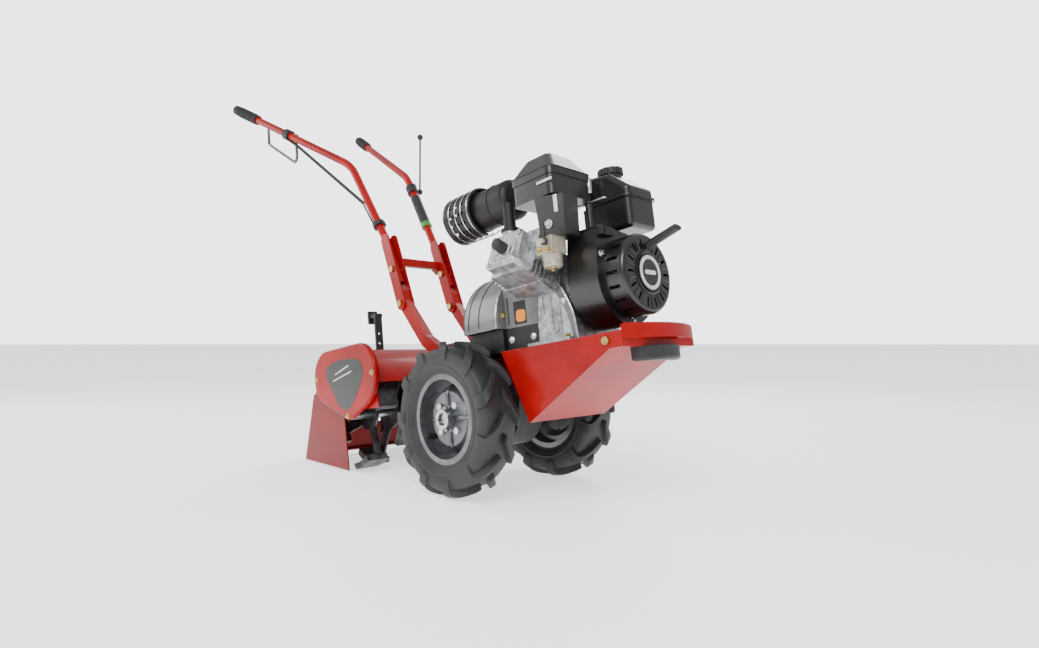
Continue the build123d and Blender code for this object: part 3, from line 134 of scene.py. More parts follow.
def make_materials(paint):
    """Every finish on the machine."""
    red = "#%02x%02x%02x" % tuple(round(255 * c) for c in paint)
    looks = {
        # Powder coat: deep saturated red under a thin clear shine, with a faint orange peel about 3 mm wide.
        "powder_coat_red": dict(dark="#820000", light=red, roughness=(0.3, 0.42), grain_mm=3.0, bump=0.05,
                                ior=1.3, coat=0.12, patch_mm=120),
        # The same coat on thin pressed sheet, with painted shade: a darker copy of the red stands in for the
        # shade on the sheet, which hangs upright and away from the light.
        "painted_shade_sheet_red": dict(dark="#6c0000", light="#860000", roughness=(0.34, 0.46), grain_mm=3.0,
                                  bump=0.05, ior=1.3, coat=0.1, patch_mm=90),
        # Smooth satin grey enamel on the belt cover: soft wide highlights.
        "satin_grey_enamel": dict(dark="#606163", light="#7b7c7e", metallic=0.25, roughness=(0.28, 0.42),
                                  grain_mm=2.0, bump=0.03, ior=1.5, coat=0.3, patch_mm=80),
        # Black enamel on pressed steel: near black with a dull shine.
        "black_enamel": dict(dark="#0d0d0e", light="#1a1a1c", roughness=(0.32, 0.5), grain_mm=2.0,
                             bump=0.06, ior=1.5, patch_mm=60),
        # Moulded black ABS of the engine covers: a fine moulded grain and long soft highlights.
        "moulded_abs_black": dict(dark="#0c0c0d", light="#191a1b", roughness=(0.26, 0.38), grain_mm=1.0,
                                  bump=0.12, ior=1.53, coat=0.15, patch_mm=70),
        # Glass-filled polyamide on caps and handles: dull black.
        "polyamide_black": dict(dark="#111112", light="#1d1d1e", roughness=(0.5, 0.65), grain_mm=1.2,
                                bump=0.15, ior=1.53, patch_mm=30),
        # Die-cast aluminium, shot-blasted: bright grey with a grain of about a millimetre and duller patches.
        "die_cast_aluminium": dict(dark="#8f9193", light="#cdd0d2", metallic=0.85, roughness=(0.3, 0.5),
                                   grain_mm=1.4, bump=0.25, patch_mm=18),
        # Silver lacquer on the pressed rims: metallic flake under a clear coat.
        "silver_lacquer": dict(dark="#55575a", light="#77797c", metallic=0.7, roughness=(0.3, 0.42),
                               grain_mm=1.0, bump=0.05, coat=0.3, patch_mm=40),
        # Bright machined steel: sharp highlights over a fine mottle.
        "turned_steel": dict(dark="#9a9b9c", light="#d5d6d6", metallic=1.0, roughness=(0.2, 0.34),
                             grain_mm=0.8, bump=0.08, patch_mm=12),
        # Yellow-passivated zinc on bolts: brassy, slightly mottled.
        "yellow_zinc": dict(dark="#a98f4e", light="#d6c28a", metallic=1.0, roughness=(0.26, 0.4),
                            grain_mm=1.0, bump=0.08, patch_mm=8),
        # Forged spring-steel tines with dark scale: blue-black, with brighter worn patches.
        "scaled_spring_steel": dict(dark="#38393b", light="#737578", metallic=0.85, roughness=(0.4, 0.6),
                                    grain_mm=2.0, bump=0.2, patch_mm=35),
        # Grey iron casting under black paint: the sand's grain shows through.
        "painted_cast_iron": dict(dark="#141415", light="#222224", roughness=(0.45, 0.62), grain_mm=2.2,
                                  bump=0.35, ior=1.5, patch_mm=50),
        # Carbon-black tyre rubber: charcoal with soft dusty patches and a fine mould grain.
        "tyre_rubber": dict(dark="#121314", light="#242627", roughness=(0.48, 0.66), grain_mm=2.5,
                            bump=0.22, ior=1.52, patch_mm=45),
        # Soft grip rubber: dead matt black.
        "grip_rubber": dict(dark="#0e0e0e", light="#191919", roughness=(0.7, 0.85), grain_mm=1.5,
                            bump=0.25, ior=1.52, patch_mm=20),
        # Wrapped V-belt: a coarse matt cloth grain about 1.5 mm over rubber.
        "wrapped_belt": dict(dark="#121212", light="#202020", roughness=(0.75, 0.9), grain_mm=1.5,
                             bump=0.4, ior=1.52, patch_mm=10),
        # Heat-proof black on the muffler: chalky and faintly brown where it has been hot.
        "heat_proof_black": dict(dark="#131212", light="#211f1e", metallic=0.3, roughness=(0.42, 0.6),
                                 grain_mm=1.5, bump=0.2, patch_mm=40),
        # Bright zinc on wire and small brackets: cool silver.
        "bright_zinc": dict(dark="#a7abb0", light="#dfe2e5", metallic=1.0, roughness=(0.18, 0.3),
                            grain_mm=1.0, bump=0.05, patch_mm=10),
        # Galvanised bail wire: duller grey than bright zinc.
        "grey_wire": dict(dark="#4c4e51", light="#7a7d81", metallic=0.9, roughness=(0.35, 0.5),
                          grain_mm=1.2, bump=0.1, patch_mm=14),
        # Sand-cast zinc alloy of the carburetor: warm pale beige-grey.
        "carburetor_alloy": dict(dark="#a39a88", light="#d2cbbb", metallic=0.6, roughness=(0.35, 0.5),
                                 grain_mm=1.2, bump=0.2, patch_mm=14),
        # Filter paper: pale buff and dead matt.
        "filter_paper": dict(dark="#b8a77c", light="#d2c397", roughness=(0.8, 0.9), grain_mm=1.0,
                             bump=0.3, patch_mm=20),
        # Plain vinyl plates: flat colours with a soft sheen.
        "vinyl_dark": dict(dark="#17191a", light="#26292a", roughness=(0.28, 0.36), grain_mm=1.5,
                           bump=0.02, ior=1.5, patch_mm=30),
        "vinyl_pale": dict(dark="#b9b6ae", light="#dad7cf", roughness=(0.3, 0.4), grain_mm=1.5, bump=0.02,
                           ior=1.5, patch_mm=30),
        "vinyl_orange": dict(dark="#e07a10", light="#f79a22", roughness=(0.3, 0.4), grain_mm=1.5,
                             bump=0.02, ior=1.5, patch_mm=20),
        "vinyl_green": dict(dark="#2f6f2c", light="#4f9a42", roughness=(0.3, 0.4), grain_mm=1.5,
                            bump=0.02, ior=1.5, patch_mm=20),
    }
    for name, look in looks.items():
        MATERIALS[name] = surface(name, **look)


FINISHES = {
    "powder_coat_red": ("engine_deck", "front_bumper", "frame_rails", "tine_hood", "hood_caps",
                        "depth_bracket", "handle_bracket", "handle_struts", "handle_brace", "handle_tubes"),
    # The side skirts and rear flap get the darker copy of the red, which paints shade on them.
    "painted_shade_sheet_red": ("side_skirts", "rear_flap"),
    "satin_grey_enamel": ("belt_cover",),
    "black_enamel": ("belt_guard", "depth_bar", "reverse_lever"),
    "moulded_abs_black": ("blower_housing", "recoil_housing", "fuel_tank", "air_cleaner_base",
                          "air_cleaner_cover"),
    "polyamide_black": ("recoil_handle", "engine_switch", "fuel_cap", "choke_lever", "cable_clamps",
                        "control_cables", "spark_plug"),
    "die_cast_aluminium": ("crankcase", "cylinder_head", "valve_cover", "piston", "flywheel"),
    "silver_lacquer": ("wheel_rims",),
    "turned_steel": ("wheel_axle", "worm_wheel", "tine_shaft", "tine_gear", "worm_shaft", "driven_pulley",
                     "shaft_bearings", "engine_pulley", "idler_pulley", "crankshaft"),
    "yellow_zinc": ("handle_pivots", "frame_bolts"),
    "scaled_spring_steel": ("tine_blades",),
    "painted_cast_iron": ("gearcase_left", "gearcase_right", "front_weight"),
    "tyre_rubber": ("tyres",),
    "grip_rubber": ("handle_grips",),
    "wrapped_belt": ("drive_belt",),
    "heat_proof_black": ("muffler", "muffler_guard"),
    "bright_zinc": ("throttle_lever", "wheel_bolts"),
    "grey_wire": ("drive_bail",),
    "carburetor_alloy": ("carburetor",),
    "filter_paper": ("air_filter",),
}


# ---- Mesh helpers -------------------------------------------------------------------------
def finish_mesh(name, mesh_data, material, body, place=None, smooth_angle=35, edge_mm=0.0):
    """Turns a bmesh drawn in millimetres in the deck frame into an object that rides on a body."""
    bmesh.ops.remove_doubles(mesh_data, verts=mesh_data.verts, dist=1e-4)
    bmesh.ops.recalc_face_normals(mesh_data, faces=mesh_data.faces)
    mesh = bpy.data.meshes.new(name)
    mesh_data.to_mesh(mesh)
    mesh_data.free()
    mesh.transform(DECK @ Matrix.Scale(MM, 4) @ (place or Matrix()))
    piece = bpy.data.objects.new(name, mesh)
    bpy.context.scene.collection.objects.link(piece)
    mesh.materials.append(MATERIALS[material])
    for face in mesh.polygons:
        face.use_smooth = True
    mesh.set_sharp_from_angle(angle=math.radians(smooth_angle))
    if edge_mm:
        bevel = piece.modifiers.new("rounded edges", "BEVEL")
        bevel.width = edge_mm * MM
        bevel.segments = 2
        bevel.limit_method = "ANGLE"
        bevel.angle_limit = math.radians(40)
    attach(piece, body)
    return piece


def add_ring_faces(mesh_data, rings, close_rings=True, close_ends=True, loop_rings=False):
    """Skins a row of equal rings of points, given in order, and caps the two ends."""
    rows = [[mesh_data.verts.new(point) for point in ring] for ring in rings]
    count = len(rows[0])
    pairs = list(zip(rows, rows[1:])) + ([(rows[-1], rows[0])] if loop_rings else [])
    for a, b in pairs:
        for i in range(count if close_rings else count - 1):
            j = (i + 1) % count
            mesh_data.faces.new((a[i], a[j], b[j], b[i]))
    if close_ends and not loop_rings:
        mesh_data.faces.new(rows[0][::-1])
        mesh_data.faces.new(rows[-1])


def spun(profile, steps=96):
    """Rings of a closed profile of (radius, along Y) points, spun round the Y axis."""
    rings = []
    for k in range(steps):
        turn = 2 * math.pi * k / steps
        rings.append([(radius * math.cos(turn), along, radius * math.sin(turn)) for radius, along in profile])
    return rings


def rounded(points, steps=6):
    """A smooth curve through points in the plane or in space (Catmull-Rom)."""
    points = [Vector(point) for point in points]
    full = [points[0] * 2 - points[1]] + points + [points[-1] * 2 - points[-2]]
    curve = []
    for a, b, c, d in zip(full, full[1:], full[2:], full[3:]):
        for k in range(steps):
            t = k / steps
            square = (2 * a - 5 * b + 4 * c - d) * t * t
            cube = (3 * b - a - 3 * c + d) * t ** 3
            curve.append(0.5 * (2 * b + (c - a) * t + square + cube))
    curve.append(points[-1])
    return curve


def wire_rings(path, radius, sides=14):
    """Rings of a round wire along a path of points."""
    path = [Vector(point) for point in path]
    rings = []
    lift = None
    for k, point in enumerate(path):
        heading = (path[min(k + 1, len(path) - 1)] - path[max(k - 1, 0)]).normalized()
        if lift is None:
            lift = heading.orthogonal().normalized()
        lift = (lift - heading * lift.dot(heading)).normalized()
        across = heading.cross(lift)
        rings.append([point + lift * math.cos(a) * radius + across * math.sin(a) * radius
                      for a in (2 * math.pi * i / sides for i in range(sides))])
    return rings


def stack_rings(outline, levels):
    """Rings of a flat outline of (x, y) points; each level is (height, shrink towards the middle in mm)."""
    middle = Vector((sum(p[0] for p in outline) / len(outline), sum(p[1] for p in outline) / len(outline)))
    rings = []
    for height, shrink in levels:
        ring = []
        for x, y in outline:
            away = Vector((x, y)) - middle
            away = away * max(0.0, 1 - shrink / max(away.length, 1e-6))
            ring.append((middle.x + away.x, middle.y + away.y, height))
        rings.append(ring)
    return rings


def round_outline(radius, sides=48):
    """A circle as outline points."""
    turns = [2 * math.pi * k / sides for k in range(sides)]
    return [(radius * math.cos(turn), radius * math.sin(turn)) for turn in turns]


def box_outline(width, height, corner, steps=5):
    """A rectangle with round corners as outline points."""
    points = []
    for quarter, (sx, sy) in enumerate(((1, 1), (-1, 1), (-1, -1), (1, -1))):
        centre = (sx * (width / 2 - corner), sy * (height / 2 - corner))
        for k in range(steps + 1):
            turn = math.pi / 2 * (quarter + k / steps)
            points.append((centre[0] + corner * math.cos(turn), centre[1] + corner * math.sin(turn)))
    return points


def facing(point, outward, up=(0, 0, 1)):
    """A placement whose Z looks outward from a point in the deck frame, with Y as near up as it can be."""
    z_axis = Vector(outward).normalized()
    x_axis = Vector(up).cross(z_axis)
    if x_axis.length < 1e-3:
        x_axis = Vector((1, 0, 0)).cross(z_axis)
    x_axis.normalize()
    y_axis = z_axis.cross(x_axis)
    place = Matrix((x_axis, y_axis, z_axis)).transposed().to_4x4()
    place.translation = Vector(point)
    return place


def add_bolt(mesh_data, point, outward, across=13, height=6, washer=True):
    """A hexagon bolt head with a domed top, on a washer, standing on a surface."""
    place = facing(point, outward)
    corner = across / 1.732
    hexagon = [(corner * math.cos(math.pi / 3 * k), corner * math.sin(math.pi / 3 * k)) for k in range(6)]
    start = 0
    if washer:
        start = 1.2
        rings = stack_rings(round_outline(across * 0.82, 28), ((-1.0, 0), (0.9, 0), (1.2, 0.4)))
        add_ring_faces(mesh_data, [[place @ Vector(p) for p in ring] for ring in rings])
    rings = stack_rings(hexagon, ((start - 0.5, 0), (start + height * 0.8, 0), (start + height, 1.2)))
    add_ring_faces(mesh_data, [[place @ Vector(p) for p in ring] for ring in rings])


def add_plate(mesh_data, outline, point, outward, thickness=0.8, edge=0.3, up=(0, 0, 1), below=0.6):
    """A thin plate with softened edges, laid on a surface."""
    place = facing(point, outward, up)
    rings = stack_rings(outline, ((-below, 0), (thickness - edge, 0), (thickness, edge)))
    add_ring_faces(mesh_data, [[place @ Vector(p) for p in ring] for ring in rings])


# ---- Settings -----------------------------------------------------------------------------
class TillerPaint(bpy.types.PropertyGroup):
    """Colours of the machine."""
    red: bpy.props.FloatVectorProperty(name="Red", description="Red of the frame (sRGB)", size=3,
                                       subtype="COLOR_GAMMA", min=0, max=1, default=(0.64, 0.0, 0.0))


class TillerTyre(bpy.types.PropertyGroup):
    """Tread of the tyres."""
    lugs: bpy.props.IntProperty(name="Lugs", description="Lugs on each side of a tyre",
                                default=11, min=6, max=24)
    lug_width: bpy.props.FloatProperty(name="Lug width", description="Width of a lug along the tread",
                                       default=0.019, min=0.008, max=0.04, unit="LENGTH")
    sweep: bpy.props.FloatProperty(name="Sweep", description="How far a lug leans out to the shoulder",
                                   default=math.radians(21), min=0, max=1, subtype="ANGLE")


class TillerTrim(bpy.types.PropertyGroup):
    """Small trim."""
    cover_bead: bpy.props.FloatProperty(name="Cover bead", description="Radius of the rolled beads",
                                        default=0.0028, min=0.001, max=0.006, unit="LENGTH")
    badge_depth: bpy.props.FloatProperty(name="Badge depth", description="Thickness of the badges",
                                         default=0.0016, min=0.0004, max=0.004, unit="LENGTH")


class TillerStage(bpy.types.PropertyGroup):
    """Floor, light and camera."""
    floor_size: bpy.props.FloatProperty(name="Floor size", description="Width of the floor",
                                        default=400.0, min=4, unit="LENGTH")
    floor_glow: bpy.props.FloatProperty(name="Floor glow", description="Light of the floor itself",
                                        default=1.1, min=0)
    sky: bpy.props.FloatProperty(name="Sky", description="Strength of the soft light all round",
                                 default=0.7, min=0)
    backdrop: bpy.props.FloatProperty(name="Backdrop", description="Brightness of what stands behind",
                                      default=3.5, min=0)
    key_power: bpy.props.FloatProperty(name="Key light", description="Power of the main light",
                                       default=110.0, min=0, unit="POWER")


# ---- Pieces -------------------------------------------------------------------------------
class TILLER_OT_finishes(bpy.types.Operator):
    """Gives each frame piece its finish"""
    bl_idname = "tiller.finishes"
    bl_label = "Finishes"

    def execute(self, context):
        make_materials(context.scene.tiller_paint.red)
        for material, nodes in FINISHES.items():
            for node in nodes:
                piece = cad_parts[node]
                piece.data.materials.clear()
                piece.data.materials.append(MATERIALS[material])
        unfinished = set(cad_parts) - {node for nodes in FINISHES.values() for node in nodes}
        if unfinished:
            raise RuntimeError("no finish for " + ", ".join(sorted(unfinished)))
        return {"FINISHED"}


class TILLER_OT_tyres(bpy.types.Operator):
    """Builds the pneumatic tyres with their chevron lugs"""
    bl_idname = "tiller.tyres"
    bl_label = "Tyres"

    def execute(self, context):
        tyre = context.scene.tiller_tyre
        half = [(88.6, 19), (88.6, 27.6), (94, 30.5), (97, 33.2), (99.5, 33.4), (102, 35.5), (108, 39.8),
                (112, 41.2), (114, 42.7), (116.5, 42.9), (118, 42.2), (124, 43.4), (132, 43.8), (140, 43.0),
                (146, 40), (149.5, 34), (151.5, 24), (152.5, 12), (152.8, 0)]
        outer = [(p.x, p.y) for p in rounded([(r, y, 0) for r, y in half], 3)]
        profile = outer + [(r, -y) for r, y in outer[-2::-1]]
        top = rounded([(165, 1.5, 0), (165, 14, 0), (164.8, 25, 0), (162.5, 34, 0), (158, 41, 0),
                       (151, 45.2, 0), (141, 46.9, 0), (131, 46.6, 0), (125, 45.0, 0)], 3)
        base = rounded([(149, 1.5, 0), (149, 12, 0), (148.5, 22, 0), (147, 30, 0), (143, 35, 0), (138, 37, 0),
                        (134, 38.5, 0), (128, 38.5, 0), (124, 38.5, 0)], 3)
        for side_name, side in (("right", -1), ("left", 1)):
            mesh_data = bmesh.new()
            add_ring_faces(mesh_data, spun(profile, 120), loop_rings=True, close_ends=False)
            for hand in (1, -1):
                for k in range(tyre.lugs):
                    start = 2 * math.pi * (k + (0.5 if hand > 0 else 0)) / tyre.lugs
                    rings = []
                    for n, (crown, root) in enumerate(zip(top, base)):
                        lean = start - tyre.sweep * min(1.0, crown.y / 44) ** 0.9
                        widen = tyre.lug_width / MM * (0.42 + 0.22 * min(1.0, crown.y / 44))
                        ring = []
                        for place, off in ((root, -1.3), (crown, -1), (crown, 1), (root, 1.3)):
                            turn = lean + off * widen / place.x
                            ring.append((place.x * math.cos(turn), hand * place.y, place.x * math.sin(turn)))
                        rings.append(ring)
                    add_ring_faces(mesh_data, rings)
            piece = finish_mesh(f"tyre_{side_name}", mesh_data, "tyre_rubber", "wheels",
                                Matrix.Translation((0, side * WHEEL_TRACK, 0)), 32, 1.1)
            if side < 0:
                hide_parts("tyres")
        return {"FINISHED"}


class TILLER_OT_wheel_trim(bpy.types.Operator):
    """Adds the hub rings, cross bolts, rim beads and valve stems"""
    bl_idname = "tiller.wheel_trim"
    bl_label = "Wheel trim"

    def execute(self, context):
        hubs = bmesh.new()
        beads = bmesh.new()
        stems = bmesh.new()
        for side in (-1, 1):
            outer = side * (WHEEL_TRACK + 34)
            ring = [(13.5, -1), (21.4, -1), (21.4, 0.6), (20.2, 1.6), (14.8, 1.6), (13.5, 0.6)]
            rings = [[(x, outer + side * y, z) for x, y, z in row] for row in spun(ring, 64)]
            add_ring_faces(hubs, rings, loop_rings=True, close_ends=False)
            add_bolt(hubs, (0, side * (WHEEL_TRACK + 24), 21), (0, 0, 1), 11, 5, False)
            add_bolt(hubs, (0, side * (WHEEL_TRACK + 24), -21), (0, 0, -1), 11, 5, False)
            lip = [(95.2, 0), (97.2, 0.4), (97.9, 1.6), (97.2, 2.8), (95.2, 3.0), (94.0, 1.6)]
            lip_y = side * (WHEEL_TRACK + 28.6)
            rings = [[(x, lip_y + side * y, z) for x, y, z in row] for row in spun(lip, 96)]
            add_ring_faces(beads, rings, loop_rings=True, close_ends=False)
            # Pressed radial ribs of the dish stiffen it between the bolts.
            for k in range(4):
                turn = math.pi / 2 * k
                path = []
                for radius, depth in ((28, 14.0), (38, 14.6), (52, 14.4), (62, 8.0), (70, -3.0)):
                    out = side * (WHEEL_TRACK + depth)
                    path.append((radius * math.cos(turn), out, radius * math.sin(turn)))
                add_ring_faces(beads, wire_rings(rounded(path, 4), 5.0, 12))
            turn = math.radians(205)
            foot = Vector((80 * math.cos(turn), side * (WHEEL_TRACK - 6), 80 * math.sin(turn)))
            tip = foot + Vector((-3 * math.cos(turn), side * 30, -3 * math.sin(turn)))
            add_ring_faces(stems, wire_rings([foot, foot.lerp(tip, 0.5)], 4.2, 16))
            add_ring_faces(stems, wire_rings([foot.lerp(tip, 0.48), tip], 3.0, 16))
        finish_mesh("hub_rings", hubs, "turned_steel", "wheels", None, 30, 0.3)
        finish_mesh("rim_beads", beads, "silver_lacquer", "wheels", None, 60)
        finish_mesh("valve_stems", stems, "polyamide_black", "wheels", None, 40, 0.3)
        return {"FINISHED"}


class TILLER_OT_cover_trim(bpy.types.Operator):
    """Adds the belt cover's rolled bead, seams and screws"""
    bl_idname = "tiller.cover_trim"
    bl_label = "Belt cover trim"

    def execute(self, context):
        trim = context.scene.tiller_trim
        bead = bmesh.new()
        path = []
        for k in range(65):
            turn = math.radians(-5 + 190 * k / 64)
            path.append((117.5, 120.6 * math.cos(turn), COVER_Z + 120.6 * math.sin(turn)))
        add_ring_faces(bead, wire_rings(path, trim.cover_bead / MM, 12))
        finish_mesh("cover_bead", bead, "bright_zinc", "chassis", None, 60)
        band = bmesh.new()
        for x in (30, 64):
            turns = [math.radians(a) for a in range(-4, 185, 3)]
            path = [(x, COVER_RADIUS * math.cos(a), COVER_Z + COVER_RADIUS * math.sin(a)) for a in turns]
            add_ring_faces(band, wire_rings(path, 1.3, 8))
        finish_mesh("cover_seams", band, "black_enamel", "chassis", None, 60)
        screws = bmesh.new()
        for y, z in ((-100, 205), (100, 205), (-62, 279), (62, 279)):
            add_bolt(screws, (120, y, z), (1, 0, 0), 9, 4)
        finish_mesh("cover_screws", screws, "yellow_zinc", "chassis", None, 30, 0.3)
        return {"FINISHED"}


class TILLER_OT_shroud_trim(bpy.types.Operator):
    """Adds the smooth panels, rolled rim and plain plates of the shroud under the cylinder"""
    bl_idname = "tiller.shroud_trim"
    bl_label = "Shroud trim"

    def execute(self, context):
        trim = context.scene.tiller_trim
        foot = Vector((124, -96, 0))
        heading = Vector((174, 18, 0)).normalized()
        outward = Vector((heading.y, -heading.x, 0))

        def on_shroud(along, height, proud=0.0):
            return foot + heading * along + Vector((0, 0, height)) + outward * proud

        crown_points = [(-2, 262, 0), (27, 281, 0), (71, 287, 0), (114, 274, 0), (137, 257, 0), (157, 219, 0),
                        (172, 180, 0), (178, 130, 0)]
        inside_points = [(168, 130, 0), (160, 172, 0), (146, 208, 0), (124, 240, 0), (102, 247, 0),
                         (90, 226, 0), (86, 200, 0), (84, 176, 0)]
        crown = [(p.x, p.y) for p in rounded(crown_points, 6)]
        inside = [(p.x, p.y) for p in rounded(inside_points, 6)]
        for name, outline, material in (
            ("shroud_panel", [(-2, 176)] + crown + inside, "satin_grey_enamel"),
            ("shroud_base", [(-2, 129), (-2, 175), (83, 175), (83, 129)], "black_enamel"),
        ):
            panel = bmesh.new()
            corners = [panel.verts.new(on_shroud(along, height, -0.4)) for along, height in outline]
            face = panel.faces.new(corners)
            grown = bmesh.ops.extrude_face_region(panel, geom=[face])
            front = [part for part in grown["geom"] if isinstance(part, bmesh.types.BMVert)]
            bmesh.ops.translate(panel, verts=front, vec=outward * 1.8)
            finish_mesh(name, panel, material, "chassis", None, 30)
        rim = bmesh.new()
        path = [on_shroud(along, height, 0.4) for along, height in crown]
        add_ring_faces(rim, wire_rings(path, trim.cover_bead / MM, 12))
        finish_mesh("shroud_rim", rim, "bright_zinc", "chassis", None, 60)
        dark = bmesh.new()
        path = [on_shroud(8, height, 1.0) for height in (182, 200, 220, 240)]
        add_ring_faces(dark, wire_rings(path, 1.6, 8))
        add_plate(dark, box_outline(32, 48, 2), on_shroud(40, 204, 1.4), outward)
        finish_mesh("shroud_plate_dark", dark, "vinyl_dark", "chassis")
        orange = bmesh.new()
        add_plate(orange, box_outline(25, 25, 7), on_shroud(42, 197, 2.2), outward, up=(0, 0.6, 1))
        finish_mesh("shroud_plate_orange", orange, "vinyl_orange", "chassis")
        screws = bmesh.new()
        for along, height in ((8, 262), (150, 208), (12, 150), (70, 150)):
            add_bolt(screws, on_shroud(along, height, 1.2), outward, 9, 4)
        finish_mesh("shroud_screws", screws, "bright_zinc", "chassis", None, 30, 0.3)
        ribs = bmesh.new()
        for along, low, high in ((100, 136, 232), (120, 136, 228), (140, 136, 196)):
            path = [on_shroud(along, low + (high - low) * k / 4, 0.2) for k in range(5)]
            add_ring_faces(ribs, wire_rings(path, 2.4, 10))
        turns = [2 * math.pi * k / 40 for k in range(41)]
        ring = [on_shroud(118 + 20 * math.cos(a), 168 + 20 * math.sin(a), 0.2) for a in turns]
        add_ring_faces(ribs, wire_rings(ring, 2.6, 10))
        finish_mesh("shroud_ribs", ribs, "die_cast_aluminium", "chassis", None, 50)
        return {"FINISHED"}


class TILLER_OT_hood_trim(bpy.types.Operator):
    """Adds the shield badges, cap rims and bolts of the tine hood"""
    bl_idname = "tiller.hood_trim"
    bl_label = "Hood trim"

    def execute(self, context):
        depth = context.scene.tiller_trim.badge_depth / MM
        shield = [(-464, 140), (-452, 160), (-420, 172), (-365, 176), (-305, 170), (-272, 158), (-262, 136),
                  (-272, 108), (-306, 66), (-330, 45), (-355, 38), (-380, 41), (-404, 58), (-446, 112)]
        smooth = [(p.x, p.y) for p in rounded([(x, z, 0) for x, z in shield + shield[:1]], 5)][:-1]
        rims = bmesh.new()
        plates = bmesh.new()
        swooshes = bmesh.new()
        screws = bmesh.new()
        for side in (-1, 1):
            face = side * HOOD_FACE
            for data, shrink, low, high in ((rims, 0, -3.0, 0.6), (plates, 6.0, 0.2, depth)):
                rings = []
                for height, inset in ((low, shrink), (high - 0.4, shrink), (high, shrink + 0.5)):
                    ring = stack_rings(smooth, ((0, inset),))[0]
                    rings.append([(x, face + side * (height - 1.0), z) for x, z, _ in ring])
                add_ring_faces(data, rings)
            for start, end, rise in ((-416, -322, 2), (-402, -334, 18)):
                skin = face + side * (depth - 1)
                path = rounded([(start, skin, 118 + rise), ((start + end) / 2, skin, 126 + rise),
                                (end, skin, 134 + rise)], 8)
                add_ring_faces(swooshes, wire_rings(path, 2.2, 10))
            for x, z in ((-508, 132), (-352, 27), (-226, 124)):
                add_bolt(screws, (x, face, z), (0, side, 0), 9, 4)
        finish_mesh("badge_rims", rims, "vinyl_pale", "chassis")
        finish_mesh("badge_plates", plates, "vinyl_dark", "chassis")
        finish_mesh("badge_swooshes", swooshes, "vinyl_pale", "chassis", None, 60)
        finish_mesh("cap_screws", screws, "yellow_zinc", "chassis", None, 30, 0.3)
        return {"FINISHED"}


